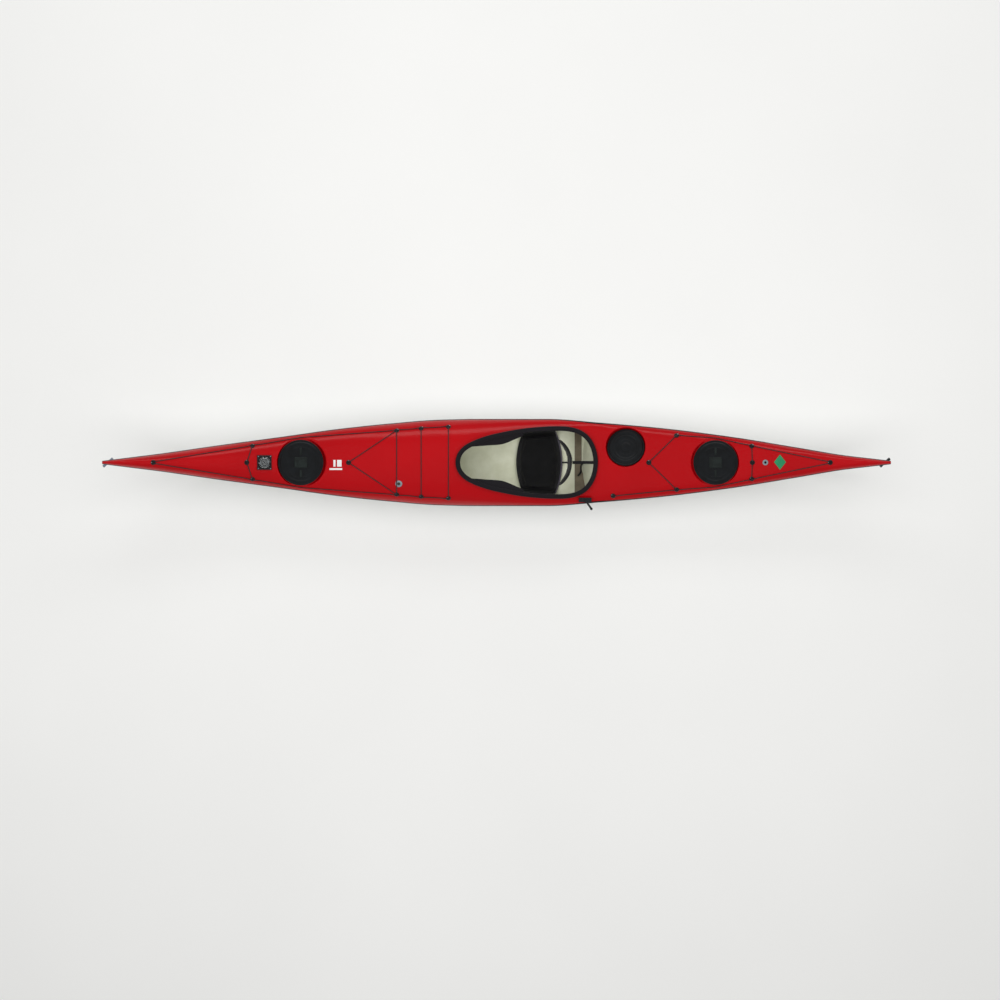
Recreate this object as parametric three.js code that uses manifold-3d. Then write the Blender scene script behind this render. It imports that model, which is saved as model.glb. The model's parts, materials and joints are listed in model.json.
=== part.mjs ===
// Sea kayak in millimetres: +X to the stern, +Y to starboard, +Z up.
// The origin is on the keel's flat, amidships.

import * as THREE from 'three';
import { mergeVertices } from 'three/addons/utils/BufferGeometryUtils.js';
import Module from 'manifold-3d';

const wasm = await Module();
wasm.setup();

// Whole boat
const length = 5200;
const beam = 574;
const endHeight = 447;
const crownHeight = 160;
const halfLength = length / 2;

// Seam band
const bandHeight = 26;
const bandThickness = 2.4;
const bandFit = 0.6;
const halfBeam = beam / 2 - bandThickness - bandFit;

// Fits and shells
const fitGap = 0.3;
const weldGap = fitGap / 100;
const cutOverrun = 60;
const hullWall = 4;
const deckWall = 4;
const solidEnd = 170;
const keelFlatHalfWidth = 25;
const stemHalfWidth = 2;

// Lines of the boat: each pair is a share of the half length, then a share of a size
const halfBeamShares = [
  [-1, 0.028], [-0.93, 0.108], [-0.85, 0.2], [-0.7, 0.395], [-0.55, 0.58], [-0.4, 0.77],
  [-0.27, 0.895], [-0.15, 0.98], [-0.05, 1], [0.13, 1], [0.26, 0.916], [0.42, 0.787],
  [0.6, 0.58], [0.76, 0.342], [0.88, 0.16], [0.95, 0.084], [1, 0.031],
];
const seamHeightShares = [
  [-1, 1], [-0.9, 0.832], [-0.8, 0.718], [-0.7, 0.631], [-0.5, 0.528], [-0.35, 0.483],
  [-0.2, 0.454], [-0.03, 0.4206], [0.12, 0.4206], [0.25, 0.4385], [0.4, 0.474], [0.55, 0.526],
  [0.65, 0.568], [0.75, 0.638], [0.85, 0.745], [0.93, 0.868], [1, 1.004],
];
const keelHeightShares = [
  [-1, 0.94], [-0.975, 0.87], [-0.94, 0.745], [-0.89, 0.526], [-0.835, 0.338], [-0.78, 0.201],
  [-0.73, 0.132], [-0.67, 0.094], [-0.6, 0.069], [-0.48, 0.036], [-0.33, 0.018], [-0.173, 0],
  [0.085, 0], [0.2, 0.026], [0.345, 0.0515], [0.494, 0.087], [0.644, 0.145], [0.76, 0.219],
  [0.838, 0.257], [0.871, 0.282], [0.8935, 0.34], [0.911, 0.418], [0.934, 0.548], [0.95, 0.664],
  [0.98, 0.832], [1, 0.94],
];
const crownShares = [
  [-1, 0.15], [-0.925, 0.344], [-0.85, 0.45], [-0.7, 0.6], [-0.6, 0.575], [-0.5, 0.6],
  [-0.365, 0.725], [-0.29, 0.85], [-0.215, 0.931], [-0.105, 0.9875], [-0.028, 0.875],
  [0.046, 0.7125], [0.12, 0.58], [0.165, 0.52], [0.214, 0.381], [0.246, 0.306], [0.258, 0.306],
  [0.292, 0.375], [0.42, 0.45], [0.57, 0.3875], [0.72, 0.406], [0.79, 0.331], [0.87, 0.294],
  [0.94, 0.25], [1, 0.15],
];
const keelFlatShares = [[-1, 0], [-0.75, 0], [-0.173, 1], [0.085, 1], [0.75, 0], [1, 0]];

// Powers of the curves across the boat: low is a V, two is round, high is square
const bottomPower = fairCurve([[-1, 1.15], [-0.7, 1.25], [-0.3, 1.7], [0.3, 1.7], [0.75, 1.2], [1, 1.15]]);
const sidePower = fairCurve([[-1, 1.4], [-0.7, 1.6], [-0.3, 2.6], [0.3, 2.6], [0.75, 1.7], [1, 1.4]]);
const deckPower = fairCurve([
  [-1, 2], [-0.7, 1.75], [-0.1, 1.75], [0.05, 2.1], [0.17, 2.6], [0.7, 2.6], [1, 2],
]);
const deckEdgePower = 2;

// Counts of facets
const stationCount = 33;
const endCrowding = 0.25;
const hullGirthCount = 6;
const deckGirthCount = 6;
const roundCount = 24;
const smallRoundCount = 12;
const fittingRoundCount = 16;
const outlineCount = 48;
const pinCount = 8;
const domeCount = 4;
const cordCount = 8;
const barCount = 10;

// A smooth curve through the points that never overshoots them
function fairCurve(points) {
  const slopes = points.slice(1).map(([x, y], i) => (y - points[i][1]) / (x - points[i][0]));
  const tangents = points.map((point, i) => {
    const before = slopes[Math.max(0, i - 1)];
    const after = slopes[Math.min(i, slopes.length - 1)];
    return before * after <= 0 ? 0 : (2 * before * after) / (before + after);
  });
  return (x) => {
    const last = points.length - 1;
    if (x <= points[0][0]) return points[0][1];
    if (x >= points[last][0]) return points[last][1];
    const i = points.findIndex((point, j) => j > 0 && x <= point[0]) - 1;
    const span = points[i + 1][0] - points[i][0];
    const t = (x - points[i][0]) / span;
    const rise = t * t * (3 - 2 * t);
    const leave = t * (1 - t) * (1 - t);
    const arrive = t * t * (t - 1);
    return points[i][1] * (1 - rise) + points[i + 1][1] * rise
      + span * (tangents[i] * leave + tangents[i + 1] * arrive);
  };
}

// Heights and widths along the boat
function alongBoat(shares, size) {
  const curve = fairCurve(shares);
  return (x) => size * curve(x / halfLength);
}
const halfBeamAt = alongBoat(halfBeamShares, halfBeam);
const seamAt = alongBoat(seamHeightShares, endHeight);
const keelAt = alongBoat(keelHeightShares, endHeight);
const crownAt = alongBoat(crownShares, crownHeight);
const keelFlatAt = alongBoat(keelFlatShares, keelFlatHalfWidth);
const stemFlatAt = (x) => Math.min(stemHalfWidth + keelFlatAt(x), halfBeamAt(x) / 2);

function deckHeight(x, y) {
  const share = Math.min(1, Math.abs(y) / halfBeamAt(x));
  return seamAt(x) + crownAt(x) * (1 - share ** deckPower(x / halfLength)) ** (1 / deckEdgePower);
}

// Half the hull's width at a height below the seam
function hullWidth(x, z) {
  const flat = stemFlatAt(x);
  const share = (seamAt(x) - z) / (seamAt(x) - keelAt(x));
  const side = (1 - share ** sidePower(x / halfLength)) ** (1 / bottomPower(x / halfLength));
  return flat + (halfBeamAt(x) - flat) * side;
}

function deckWidth(x, z) {
  const share = (z - seamAt(x)) / crownAt(x);
  return halfBeamAt(x) * (1 - share ** deckEdgePower) ** (1 / deckPower(x / halfLength));
}

const slopeStep = halfBeam / 100;

function deckNormal(x, y) {
  const slopeX = (deckHeight(x + slopeStep, y) - deckHeight(x - slopeStep, y)) / (2 * slopeStep);
  const slopeY = (deckHeight(x, y + slopeStep) - deckHeight(x, y - slopeStep)) / (2 * slopeStep);
  return new THREE.Vector3(-slopeX, -slopeY, 1).normalize();
}

// Solids
function solidOf(points, triangles) {
  let mesh = new wasm.Mesh({
    numProp: 3,
    vertProperties: new Float32Array(points.flat()),
    triVerts: new Uint32Array(triangles.flat()),
  });
  const solid = new wasm.Manifold(mesh);
  if (solid.volume() > 0) return solid;
  mesh = new wasm.Mesh({
    numProp: 3,
    vertProperties: new Float32Array(points.flat()),
    triVerts: new Uint32Array(triangles.map(([a, b, c]) => [a, c, b]).flat()),
  });
  return new wasm.Manifold(mesh);
}

function solidOfGeometry(geometry, matrix = new THREE.Matrix4()) {
  const bare = geometry.clone().applyMatrix4(matrix);
  bare.deleteAttribute('normal');
  bare.deleteAttribute('uv');
  const merged = mergeVertices(bare, weldGap);
  return new wasm.Manifold(new wasm.Mesh({
    numProp: 3,
    vertProperties: new Float32Array(merged.attributes.position.array),
    triVerts: new Uint32Array(merged.index.array),
  }));
}

function geometryOf(solid) {
  const mesh = solid.getMesh();
  const geometry = new THREE.BufferGeometry();
  geometry.setAttribute('position', new THREE.BufferAttribute(mesh.vertProperties, mesh.numProp));
  geometry.setIndex(new THREE.BufferAttribute(mesh.triVerts, 1));
  geometry.computeVertexNormals();
  return geometry;
}

// Joins closed rings of [x, y, z] points into one solid with flat ends, or into a closed loop
function loft(rings, closed = false) {
  const count = rings[0].length;
  const triangles = [];
  const spans = closed ? rings.length : rings.length - 1;
  for (let i = 0; i < spans; i++) {
    const near = i * count;
    const far = ((i + 1) % rings.length) * count;
    for (let j = 0; j < count; j++) {
      const k = (j + 1) % count;
      triangles.push([near + j, near + k, far + k], [near + j, far + k, far + j]);
    }
  }
  if (!closed) {
    const end = (rings.length - 1) * count;
    for (let j = 1; j < count - 1; j++) {
      triangles.push([0, j + 1, j], [end, end + j, end + j + 1]);
    }
  }
  return solidOf(rings.flat(), triangles);
}

// A plate over a flat outline, whose top and bottom follow two heights
function slab(outline, holes, topAt, bottomAt) {
  const contour = outline.map(([x, y]) => new THREE.Vector2(x, y));
  const holeContours = holes.map((hole) => hole.map(([x, y]) => new THREE.Vector2(x, y)));
  if (THREE.ShapeUtils.isClockWise(contour)) contour.reverse();
  holeContours.forEach((hole) => {
    if (!THREE.ShapeUtils.isClockWise(hole)) hole.reverse();
  });
  const faces = THREE.ShapeUtils.triangulateShape(contour, holeContours);
  const flat = [contour, ...holeContours].flat();
  const points = [
    ...flat.map(({ x, y }) => [x, y, topAt(x, y)]),
    ...flat.map(({ x, y }) => [x, y, bottomAt(x, y)]),
  ];
  const under = flat.length;
  const triangles = faces.flatMap(([a, b, c]) => [[a, b, c], [under + a, under + c, under + b]]);
  let start = 0;
  for (const loop of [contour, ...holeContours]) {
    for (let j = 0; j < loop.length; j++) {
      const a = start + j;
      const b = start + ((j + 1) % loop.length);
      triangles.push([a, under + a, under + b], [a, under + b, b]);
    }
    start += loop.length;
  }
  return solidOf(points, triangles);
}

// A sheet over a grid of [x, y, z] points, thickened by an offset under each point
function sheet(top, offsetAt) {
  const under = top.map((row, i) => row.map((point, j) => {
    const offset = offsetAt(i, j);
    return point.map((value, axis) => value - offset[axis]);
  }));
  const columns = top[0].length;
  const points = [...top.flat(), ...under.flat()];
  const below = top.length * columns;
  const triangles = [];
  const quad = (a, b, c, d) => triangles.push([a, b, c], [a, c, d]);
  for (let i = 0; i < top.length - 1; i++) {
    for (let j = 0; j < columns - 1; j++) {
      const a = i * columns + j;
      quad(a, a + columns, a + columns + 1, a + 1);
      quad(below + a, below + a + 1, below + a + columns + 1, below + a + columns);
    }
    const left = i * columns;
    const right = left + columns - 1;
    quad(left, below + left, below + left + columns, left + columns);
    quad(right, right + columns, below + right + columns, below + right);
  }
  const end = (top.length - 1) * columns;
  for (let j = 0; j < columns - 1; j++) {
    quad(j, j + 1, below + j + 1, below + j);
    quad(end + j, below + end + j, below + end + j + 1, end + j + 1);
  }
  return solidOf(points, triangles);
}

// A turned solid: the profile is [radius, height] and starts and ends on the axis or closes
function turned(profile, count = roundCount) {
  const onAxis = profile[0][0] === 0;
  const outline = onAxis ? profile : [...profile, profile[0]];
  const points = outline.map(([radius, height]) => new THREE.Vector2(radius, height));
  const geometry = new THREE.LatheGeometry(points, count);
  geometry.rotateX(Math.PI / 2);
  return solidUp(geometry);
}

function solidUp(geometry) {
  const bare = geometry.clone();
  bare.deleteAttribute('normal');
  bare.deleteAttribute('uv');
  const merged = mergeVertices(bare, weldGap);
  const source = Array.from(merged.attributes.position.array);
  const points = Array.from({ length: source.length / 3 }, (_, i) => source.slice(3 * i, 3 * i + 3));
  const index = Array.from(merged.index.array);
  const triangles = [];
  for (let i = 0; i < index.length; i += 3) {
    const [a, b, c] = index.slice(i, i + 3);
    if (a !== b && b !== c && a !== c) triangles.push([a, b, c]);
  }
  return solidOf(points, triangles);
}

function cylinder(radius, low, high, count = roundCount) {
  return turned([[0, low], [radius, low], [radius, high], [0, high]], count);
}

function block(low, high) {
  const size = high.map((value, i) => value - low[i]);
  const geometry = new THREE.BoxGeometry(...size);
  const centre = high.map((value, i) => (value + low[i]) / 2);
  return solidOfGeometry(geometry, new THREE.Matrix4().makeTranslation(...centre));
}

// A place on the boat: a matrix whose Z axis is the given direction
function placeAt(position, up, forward = new THREE.Vector3(1, 0, 0)) {
  const z = up.clone().normalize();
  const y = new THREE.Vector3().crossVectors(z, forward).normalize();
  const x = new THREE.Vector3().crossVectors(y, z);
  return new THREE.Matrix4().makeBasis(x, y, z).setPosition(position);
}

function movedTo(point) {
  return new THREE.Matrix4().makeTranslation(point.x, point.y, point.z);
}

function moved(solid, matrix) {
  return solid.transform(matrix.toArray());
}

const steepShare = 0.9;

// A round tube along a route, as one solid
function tube(route, radius, count) {
  const ring = Array.from({ length: count }, (_, j) => {
    const angle = (2 * Math.PI * j) / count;
    return new THREE.Vector2(radius * Math.cos(angle), radius * Math.sin(angle));
  });
  const directions = route.map((point, i) => {
    const before = route[Math.max(0, i - 1)];
    const after = route[Math.min(route.length - 1, i + 1)];
    return after.clone().sub(before).normalize();
  });
  const side = new THREE.Vector3(0, 0, 1);
  if (Math.abs(directions[0].z) > steepShare) side.set(1, 0, 0);
  const rings = route.map((point, i) => {
    const across = side.clone().addScaledVector(directions[i], -side.dot(directions[i])).normalize();
    side.copy(across);
    const up = new THREE.Vector3().crossVectors(directions[i], across);
    return ring.map((corner) => point.clone()
      .addScaledVector(across, corner.x)
      .addScaledVector(up, corner.y)
      .toArray());
  });
  return loft(rings);
}

const model = new THREE.Group();

function addPiece(name, solid, finish) {
  const mesh = new THREE.Mesh(geometryOf(solid), finish);
  mesh.name = name;
  model.add(mesh);
  return mesh;
}

function finishOf(color, roughness, metalness = 0) {
  return new THREE.MeshStandardMaterial({ color, roughness, metalness });
}

const redGelcoat = finishOf(0xbe0f19, 0.18);
const whiteGelcoat = finishOf(0xf3f5f4, 0.2);
const blackGelcoat = finishOf(0x1e1920, 0.3);
const creamLaminate = finishOf(0xb7bea0, 0.5);
const blackRubber = finishOf(0x17181a, 0.65);
const blackPlastic = finishOf(0x1b1c1f, 0.45);
const greyPlastic = finishOf(0x7d8589, 0.4);
const blackCord = finishOf(0x202126, 0.8);
const paleCord = finishOf(0xb9bec4, 0.8);
const blackFoam = finishOf(0x1c1c1e, 0.9);
const whiteCard = finishOf(0xe8e8e6, 0.4);
const clearDome = finishOf(0xd8dde0, 0.05);
const bladePlastic = finishOf(0x2a2b2e, 0.5);

// Hull and deck sections, taken in by an inset
function hullSection(x, inset, top) {
  const share = x / halfLength;
  const width = halfBeamAt(x) - inset;
  const keel = keelAt(x) + inset;
  const flat = Math.min(stemFlatAt(x), width / 2);
  const side = Array.from({ length: hullGirthCount + 1 }, (_, j) => {
    const angle = (Math.PI / 2) * (j / hullGirthCount);
    const y = flat + (width - flat) * Math.cos(angle) ** (2 / bottomPower(share));
    const z = top - (top - keel) * Math.sin(angle) ** (2 / sidePower(share));
    return j === hullGirthCount ? [flat, keel] : [y, z];
  });
  return [...side, ...side.map(([y, z]) => [-y, z]).reverse()];
}

function deckSection(x, inset, bottom) {
  const share = x / halfLength;
  const width = halfBeamAt(x) - inset;
  const crown = seamAt(x) + crownAt(x) - inset - bottom;
  const side = Array.from({ length: deckGirthCount }, (_, j) => {
    const angle = (Math.PI / 2) * (j / deckGirthCount);
    const y = width * Math.cos(angle) ** (2 / deckPower(share));
    return [y, bottom + crown * Math.sin(angle) ** (2 / deckEdgePower)];
  });
  return [...side, [0, bottom + crown], ...side.map(([y, z]) => [-y, z]).reverse()];
}

const shellHalfLength = halfLength - bandThickness - bandFit;

const stations = Array.from({ length: stationCount }, (_, i) => {
  const t = -1 + (2 * i) / (stationCount - 1);
  return shellHalfLength * t * (1 + endCrowding * (1 - t * t));
});
const innerStations = stations.filter((x) => Math.abs(x) < halfLength - solidEnd);

const atStation = (x, section) => section.map(([y, z]) => [x, y, z]);

// The hull's solid, with a lip above its top edge where it is used as a cutter
function hullSolid(places, inset, lip) {
  return loft(places.map((x) => {
    const top = seamAt(x) - fitGap / 2;
    const section = hullSection(x, inset, top);
    const width = section[0][0];
    const high = top + lip;
    return atStation(x, lip > 0 ? [[width, high], ...section, [-width, high]] : section);
  }));
}

// The deck's solid, with a skirt below its bottom edge where it is used as a cutter
function deckSolid(places, inset, skirt) {
  return loft(places.map((x) => {
    const bottom = seamAt(x) + fitGap / 2;
    const section = deckSection(x, inset, bottom);
    const width = section[0][0];
    const low = bottom - skirt;
    return atStation(x, skirt > 0 ? [[width, low], ...section, [-width, low]] : section);
  }));
}

const hullOuter = hullSolid(stations, 0, 0);
const hullInner = hullSolid(innerStations, hullWall, cutOverrun);
const hullSpace = hullSolid(innerStations, hullWall + fitGap, fitGap);
const deckOuter = deckSolid(stations, 0, 0);
const deckInner = deckSolid(innerStations, deckWall, cutOverrun);
const deckSpace = deckSolid(innerStations, deckWall + fitGap, 2 * fitGap);
const innerSpace = hullSpace.add(deckSpace);
const deckClear = deckSolid(stations, -fitGap, 0);

// Finds the faceted deck below a place
const deckProbe = new THREE.Mesh(
  geometryOf(deckOuter), new THREE.MeshBasicMaterial({ side: THREE.DoubleSide }),
);
const caster = new THREE.Raycaster();
const probeHeight = 4 * endHeight;

function deckFacetHeight(x, y) {
  caster.set(new THREE.Vector3(x, y, probeHeight), new THREE.Vector3(0, 0, -1));
  const [hit] = caster.intersectObject(deckProbe);
  return hit.point.z;
}

// A seat for a round base on the deck: above every facet under it
function deckSeat(x, y, radius, gap = fitGap) {
  const up = deckNormal(x, y);
  const centre = new THREE.Vector3(x, y, deckFacetHeight(x, y));
  const matrix = placeAt(centre, up);
  let lift = 0;
  for (let ring = 1; ring <= 2; ring++) {
    for (let j = 0; j < smallRoundCount; j++) {
      const angle = (2 * Math.PI * j) / smallRoundCount;
      const reach = (radius * ring) / 2;
      const rim = new THREE.Vector3(reach * Math.cos(angle), reach * Math.sin(angle), 0);
      rim.applyMatrix4(matrix);
      rim.z = deckFacetHeight(rim.x, rim.y);
      lift = Math.max(lift, rim.sub(centre).dot(up));
    }
  }
  centre.addScaledVector(up, lift + gap);
  return placeAt(centre, up);
}

// Cockpit coaming: shares of its length from its centre, and of its greatest half width
const coamingLength = 943;
const coamingHalfWidth = 240;
const coamingCentreShare = 0.0763;
const coamingRim = 31;
const coamingRimThickness = 5;
const coamingNeck = 5;
const coamingNeckDrop = 14;
const coamingRise = 21.4;
const coamingCentre = coamingCentreShare * halfLength;
const coamingFront = coamingCentre - coamingLength / 2;
const coamingRear = coamingCentre + coamingLength / 2;
const coamingPeak = deckHeight(coamingFront, 0) + coamingRise;
const coamingShares = [
  [-0.5, 0], [-0.487, 0.18], [-0.459, 0.41], [-0.385, 0.58], [-0.28, 0.742], [-0.172, 0.833],
  [-0.029, 0.933], [0.13, 0.99], [0.22, 1], [0.306, 0.985], [0.38, 0.892], [0.43, 0.742],
  [0.471, 0.496], [0.493, 0.22], [0.5, 0],
];
const coamingTopShares = [
  [-0.5, 1], [-0.289, 0.879], [-0.186, 0.828], [-0.083, 0.793], [0.02, 0.758], [0.123, 0.739],
  [0.226, 0.72], [0.329, 0.704], [0.5, 0.71],
];
const coamingCurve = fairCurve(coamingShares);
const coamingTopCurve = fairCurve(coamingTopShares);
const coamingTop = (x) => coamingPeak * coamingTopCurve((x - coamingCentre) / coamingLength);

// Hatches: cover radius, height of the rim, place and tilt
const hatchBowShare = -0.496;
const hatchSternShare = 0.5555;
const dayHatchBack = 180.3;
const hatchSizes = {
  bow: { radius: 150, rimHeight: 27, x: hatchBowShare * halfLength, yShare: 0, sink: 45, tilt: 0 },
  day: { radius: 124, rimHeight: 15, x: coamingRear + dayHatchBack, yShare: 0.43, sink: 44, tilt: 14 },
  stern: { radius: 147, rimHeight: 20, x: hatchSternShare * halfLength, yShare: 0, sink: 19, tilt: 0 },
};
const hatchRecessGap = 5;
const rimWidth = 24;
const rimNeck = 5;
const rimBead = 6;
const rimFlange = 3;
const coverSkirt = 5;
const coverThickness = 5;
const coverRib = 3;
const coverEdge = 3;
const coverRingShare = 0.84;
const coverDishShare = 0.58;
const coverBossShare = 0.22;
const coverStepShare = 0.04;

const hatches = Object.entries(hatchSizes).map(([name, size]) => {
  const { x } = size;
  const y = size.yShare * halfBeamAt(x);
  const tilt = THREE.MathUtils.degToRad(size.tilt);
  const slope = (deckHeight(x + size.radius, y) - deckHeight(x - size.radius, y)) / (2 * size.radius);
  const up = new THREE.Vector3(-slope, Math.tan(tilt), 1).normalize();
  const floor = new THREE.Vector3(x, y, deckHeight(x, y)).addScaledVector(up, -size.sink);
  const opening = size.radius - rimWidth;
  return { name, ...size, opening, up, place: placeAt(floor, up) };
});

// The outline of the coaming, taken in by an inset
function coamingOutline(inset) {
  const side = coamingShares.slice(1, -1).map(([along, across]) => [
    coamingCentre + along * coamingLength, across * coamingHalfWidth,
  ]);
  const first = [coamingFront, 0];
  const last = [coamingRear, 0];
  const corners = [first, ...side, last, ...side.map(([x, y]) => [x, -y]).reverse()];
  const curve = new THREE.CatmullRomCurve3(
    corners.map(([x, y]) => new THREE.Vector3(x, y, 0)), true, 'centripetal',
  );
  return Array.from({ length: outlineCount }, (_, i) => {
    const point = curve.getPoint(i / outlineCount);
    const tangent = curve.getTangent(i / outlineCount);
    return [point.x + tangent.y * inset, point.y - tangent.x * inset];
  });
}

const neckOutline = coamingOutline(coamingRim - coamingNeck);
const openingOutline = coamingOutline(coamingRim);
const cockpitCut = slab(
  coamingOutline(coamingRim - coamingNeck - fitGap), [],
  () => coamingPeak + cutOverrun, () => cutOverrun,
);

// Round through fittings on the deck
const pumpOutlet = { xShare: -0.2477, yShare: -0.54, radius: 23, bore: 11, stub: 14 };
const sternSocket = { xShare: 0.6815, yShare: 0, radius: 19, bore: 8, stub: 11 };
const throughFlange = 5;
const throughDepth = 22;

function throughFitting({ xShare, yShare, radius, bore, stub }) {
  const x = xShare * halfLength;
  const seat = deckSeat(x, yShare * halfBeamAt(x), radius);
  const solid = turned([
    [bore, -throughDepth], [stub, -throughDepth], [stub, 0], [radius, 0],
    [radius, throughFlange / 2], [radius - throughFlange / 2, throughFlange],
    [bore, throughFlange],
  ], fittingRoundCount);
  const hole = cylinder(stub + fitGap, -cutOverrun, cutOverrun, fittingRoundCount);
  return { solid: moved(solid, seat), hole: moved(hole, seat) };
}

const pumpFitting = throughFitting(pumpOutlet);
const socketFitting = throughFitting(sternSocket);

// Skeg: a blade in a case over a slot in the keel
const skegPivotShare = 0.643;
const skegPivotX = skegPivotShare * halfLength;
const skegPivotRise = 22;
const skegLength = 262;
const skegDepth = 88;
const skegThickness = 5;
const skegSlot = 8;
const skegCaseWall = 4;
const skegSideGap = 6;
const skegPinRadius = 4;
const skegCaseHeight = 150;
const skegCaseFront = skegPivotX - skegDepth / 2 - skegSideGap;
const skegCaseRear = skegPivotX + skegLength + skegSideGap;
const skegPivotZ = keelAt(skegPivotX) + skegPivotRise;
const skegCaseTop = skegPivotZ + skegCaseHeight;
const skegSlotSolid = block(
  [skegCaseFront, -skegSlot / 2, -cutOverrun],
  [skegCaseRear, skegSlot / 2, skegCaseTop],
);

// End toggles
const toggleHoleRadius = 4.6;
const toggleHoleInset = 40;
const toggleCordRadius = 2.5;
const toggleDrop = 107;
const toggleBarLength = 86;
const toggleBarRadius = 9.5;
const toggleWaistShare = 1.26;
const toggleBore = 6.2;
const toggleYaw = 40;
const toggleHoles = [-1, 1].map((end) => {
  const x = end * (halfLength - toggleHoleInset);
  const low = keelAt(x);
  const high = seamAt(x) - bandHeight / 2;
  return new THREE.Vector3(x, 0, (low + high) / 2);
});
const toggleHoleSolids = toggleHoles.map((hole) => moved(
  cylinder(toggleHoleRadius, -cutOverrun, cutOverrun, smallRoundCount),
  placeAt(hole, new THREE.Vector3(0, 1, 0)),
));

// Skeg control on the port side deck
const controlBeforeRear = 85.88;
const controlX = coamingRear - controlBeforeRear;
const controlLength = 84;
const controlWidth = 30;
const controlY = -247;
const controlRise = 55;
const controlPinRadius = 5;
const controlPinHeight = 14;
const leverLength = 80;
const leverWidth = 13;
const leverHeight = 10;
const leverHub = 10;
const leverRestAngle = -54.7;
const leverKnob = 9;
const stubRadius = 6;
const stubDrop = 32;
const cableRadius = 5;
const cableClearance = 0.6;
const cableSides = 6;
const controlTop = seamAt(controlX) + controlRise;
const controlPlace = new THREE.Vector3(controlX, controlY, controlTop);
const stubPlace = new THREE.Vector3(controlX - controlLength / 4, controlY + controlWidth / 4, 0);
const stubTop = deckFacetHeight(stubPlace.x, stubPlace.y);
const stubEnd = stubTop - stubDrop;
const controlLow = seamAt(controlX + controlLength / 2) + bandHeight / 2 + fitGap;

const controlStub = cylinder(stubRadius, stubEnd, stubTop + stubRadius, smallRoundCount);
const controlPin = cylinder(controlPinRadius, -controlPinHeight, controlPinHeight, smallRoundCount);
const control = block(
  [controlX - controlLength / 2, controlY - controlWidth / 2, controlLow],
  [controlX + controlLength / 2, controlY + controlWidth / 2, controlTop],
).subtract(deckClear)
  .add(moved(controlStub, movedTo(stubPlace)))
  .add(moved(controlPin, movedTo(controlPlace)));
addPiece('skeg_control_housing', control, blackPlastic);

const leverTurn = new THREE.Matrix4().makeRotationZ(THREE.MathUtils.degToRad(leverRestAngle));
const leverTip = new THREE.Vector3(leverLength - leverKnob, 0, 0);
const leverKnobSolid = cylinder(leverKnob, fitGap, leverHeight + leverKnob / 2, smallRoundCount);
const lever = cylinder(leverHub, fitGap, leverHeight, smallRoundCount)
  .add(block([leverHub / 2, -leverWidth / 2, fitGap], [leverTip.x, leverWidth / 2, leverHeight]))
  .add(moved(leverKnobSolid, movedTo(leverTip)))
  .subtract(cylinder(controlPinRadius + fitGap, -leverHeight, 2 * leverHeight, smallRoundCount));
addPiece('skeg_control_lever', moved(lever, movedTo(controlPlace).multiply(leverTurn)), blackPlastic);

// Hull shell
let hullShell = hullOuter.subtract(hullInner).subtract(skegSlotSolid);
toggleHoleSolids.forEach((hole) => {
  hullShell = hullShell.subtract(hole);
});
addPiece('hull_shell', hullShell, whiteGelcoat);

// Deck shell: the skin, then the walls and floors of the hatch recesses
let deckShell = deckOuter.subtract(deckInner);
const pocketLimit = deckOuter.add(hullSolid(innerStations, hullWall + fitGap, 2 * fitGap));
hatches.forEach(({ radius, opening, place }) => {
  const reach = radius + hatchRecessGap;
  const pocket = moved(cylinder(reach + deckWall, -deckWall, cutOverrun), place);
  const space = moved(cylinder(reach, 0, 2 * cutOverrun), place);
  const hole = moved(cylinder(opening, -2 * cutOverrun, cutOverrun), place);
  deckShell = deckShell.add(pocket.intersect(pocketLimit)).subtract(space).subtract(hole);
});
const stubHole = moved(
  cylinder(stubRadius + fitGap, 0, 2 * endHeight, smallRoundCount), movedTo(stubPlace),
);
deckShell = [cockpitCut, pumpFitting.hole, socketFitting.hole, stubHole]
  .reduce((shell, cut) => shell.subtract(cut), deckShell);
addPiece('deck_shell', deckShell, redGelcoat);

// Seam band round the joint of the hull and the deck
function bandRings() {
  const half = bandHeight / 2;
  const side = stations.map((x, i) => {
    const seam = seamAt(x);
    const width = halfBeamAt(x);
    const slope = (halfBeamAt(x + slopeStep) - halfBeamAt(x - slopeStep)) / (2 * slopeStep);
    const tip = i === 0 || i === stations.length - 1;
    const outward = tip
      ? new THREE.Vector2(Math.sign(x), 1)
      : new THREE.Vector2(-slope, 1).normalize();
    const low = hullWidth(x, seam - half);
    const high = deckWidth(x, seam + half);
    const at = (y, z, out) => [x + outward.x * out, y + outward.y * out, z];
    const out = bandFit + bandThickness;
    return [
      at(low, seam - half, bandFit), at(width, seam, bandFit), at(high, seam + half, bandFit),
      at(high, seam + half, out), at(width, seam, out), at(low, seam - half, out),
    ];
  });
  const other = side.map((ring) => ring.map(([x, y, z]) => [x, -y, z])).reverse();
  return [...side, ...other];
}
addPiece('seam_band', loft(bandRings(), true), blackGelcoat);

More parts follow.
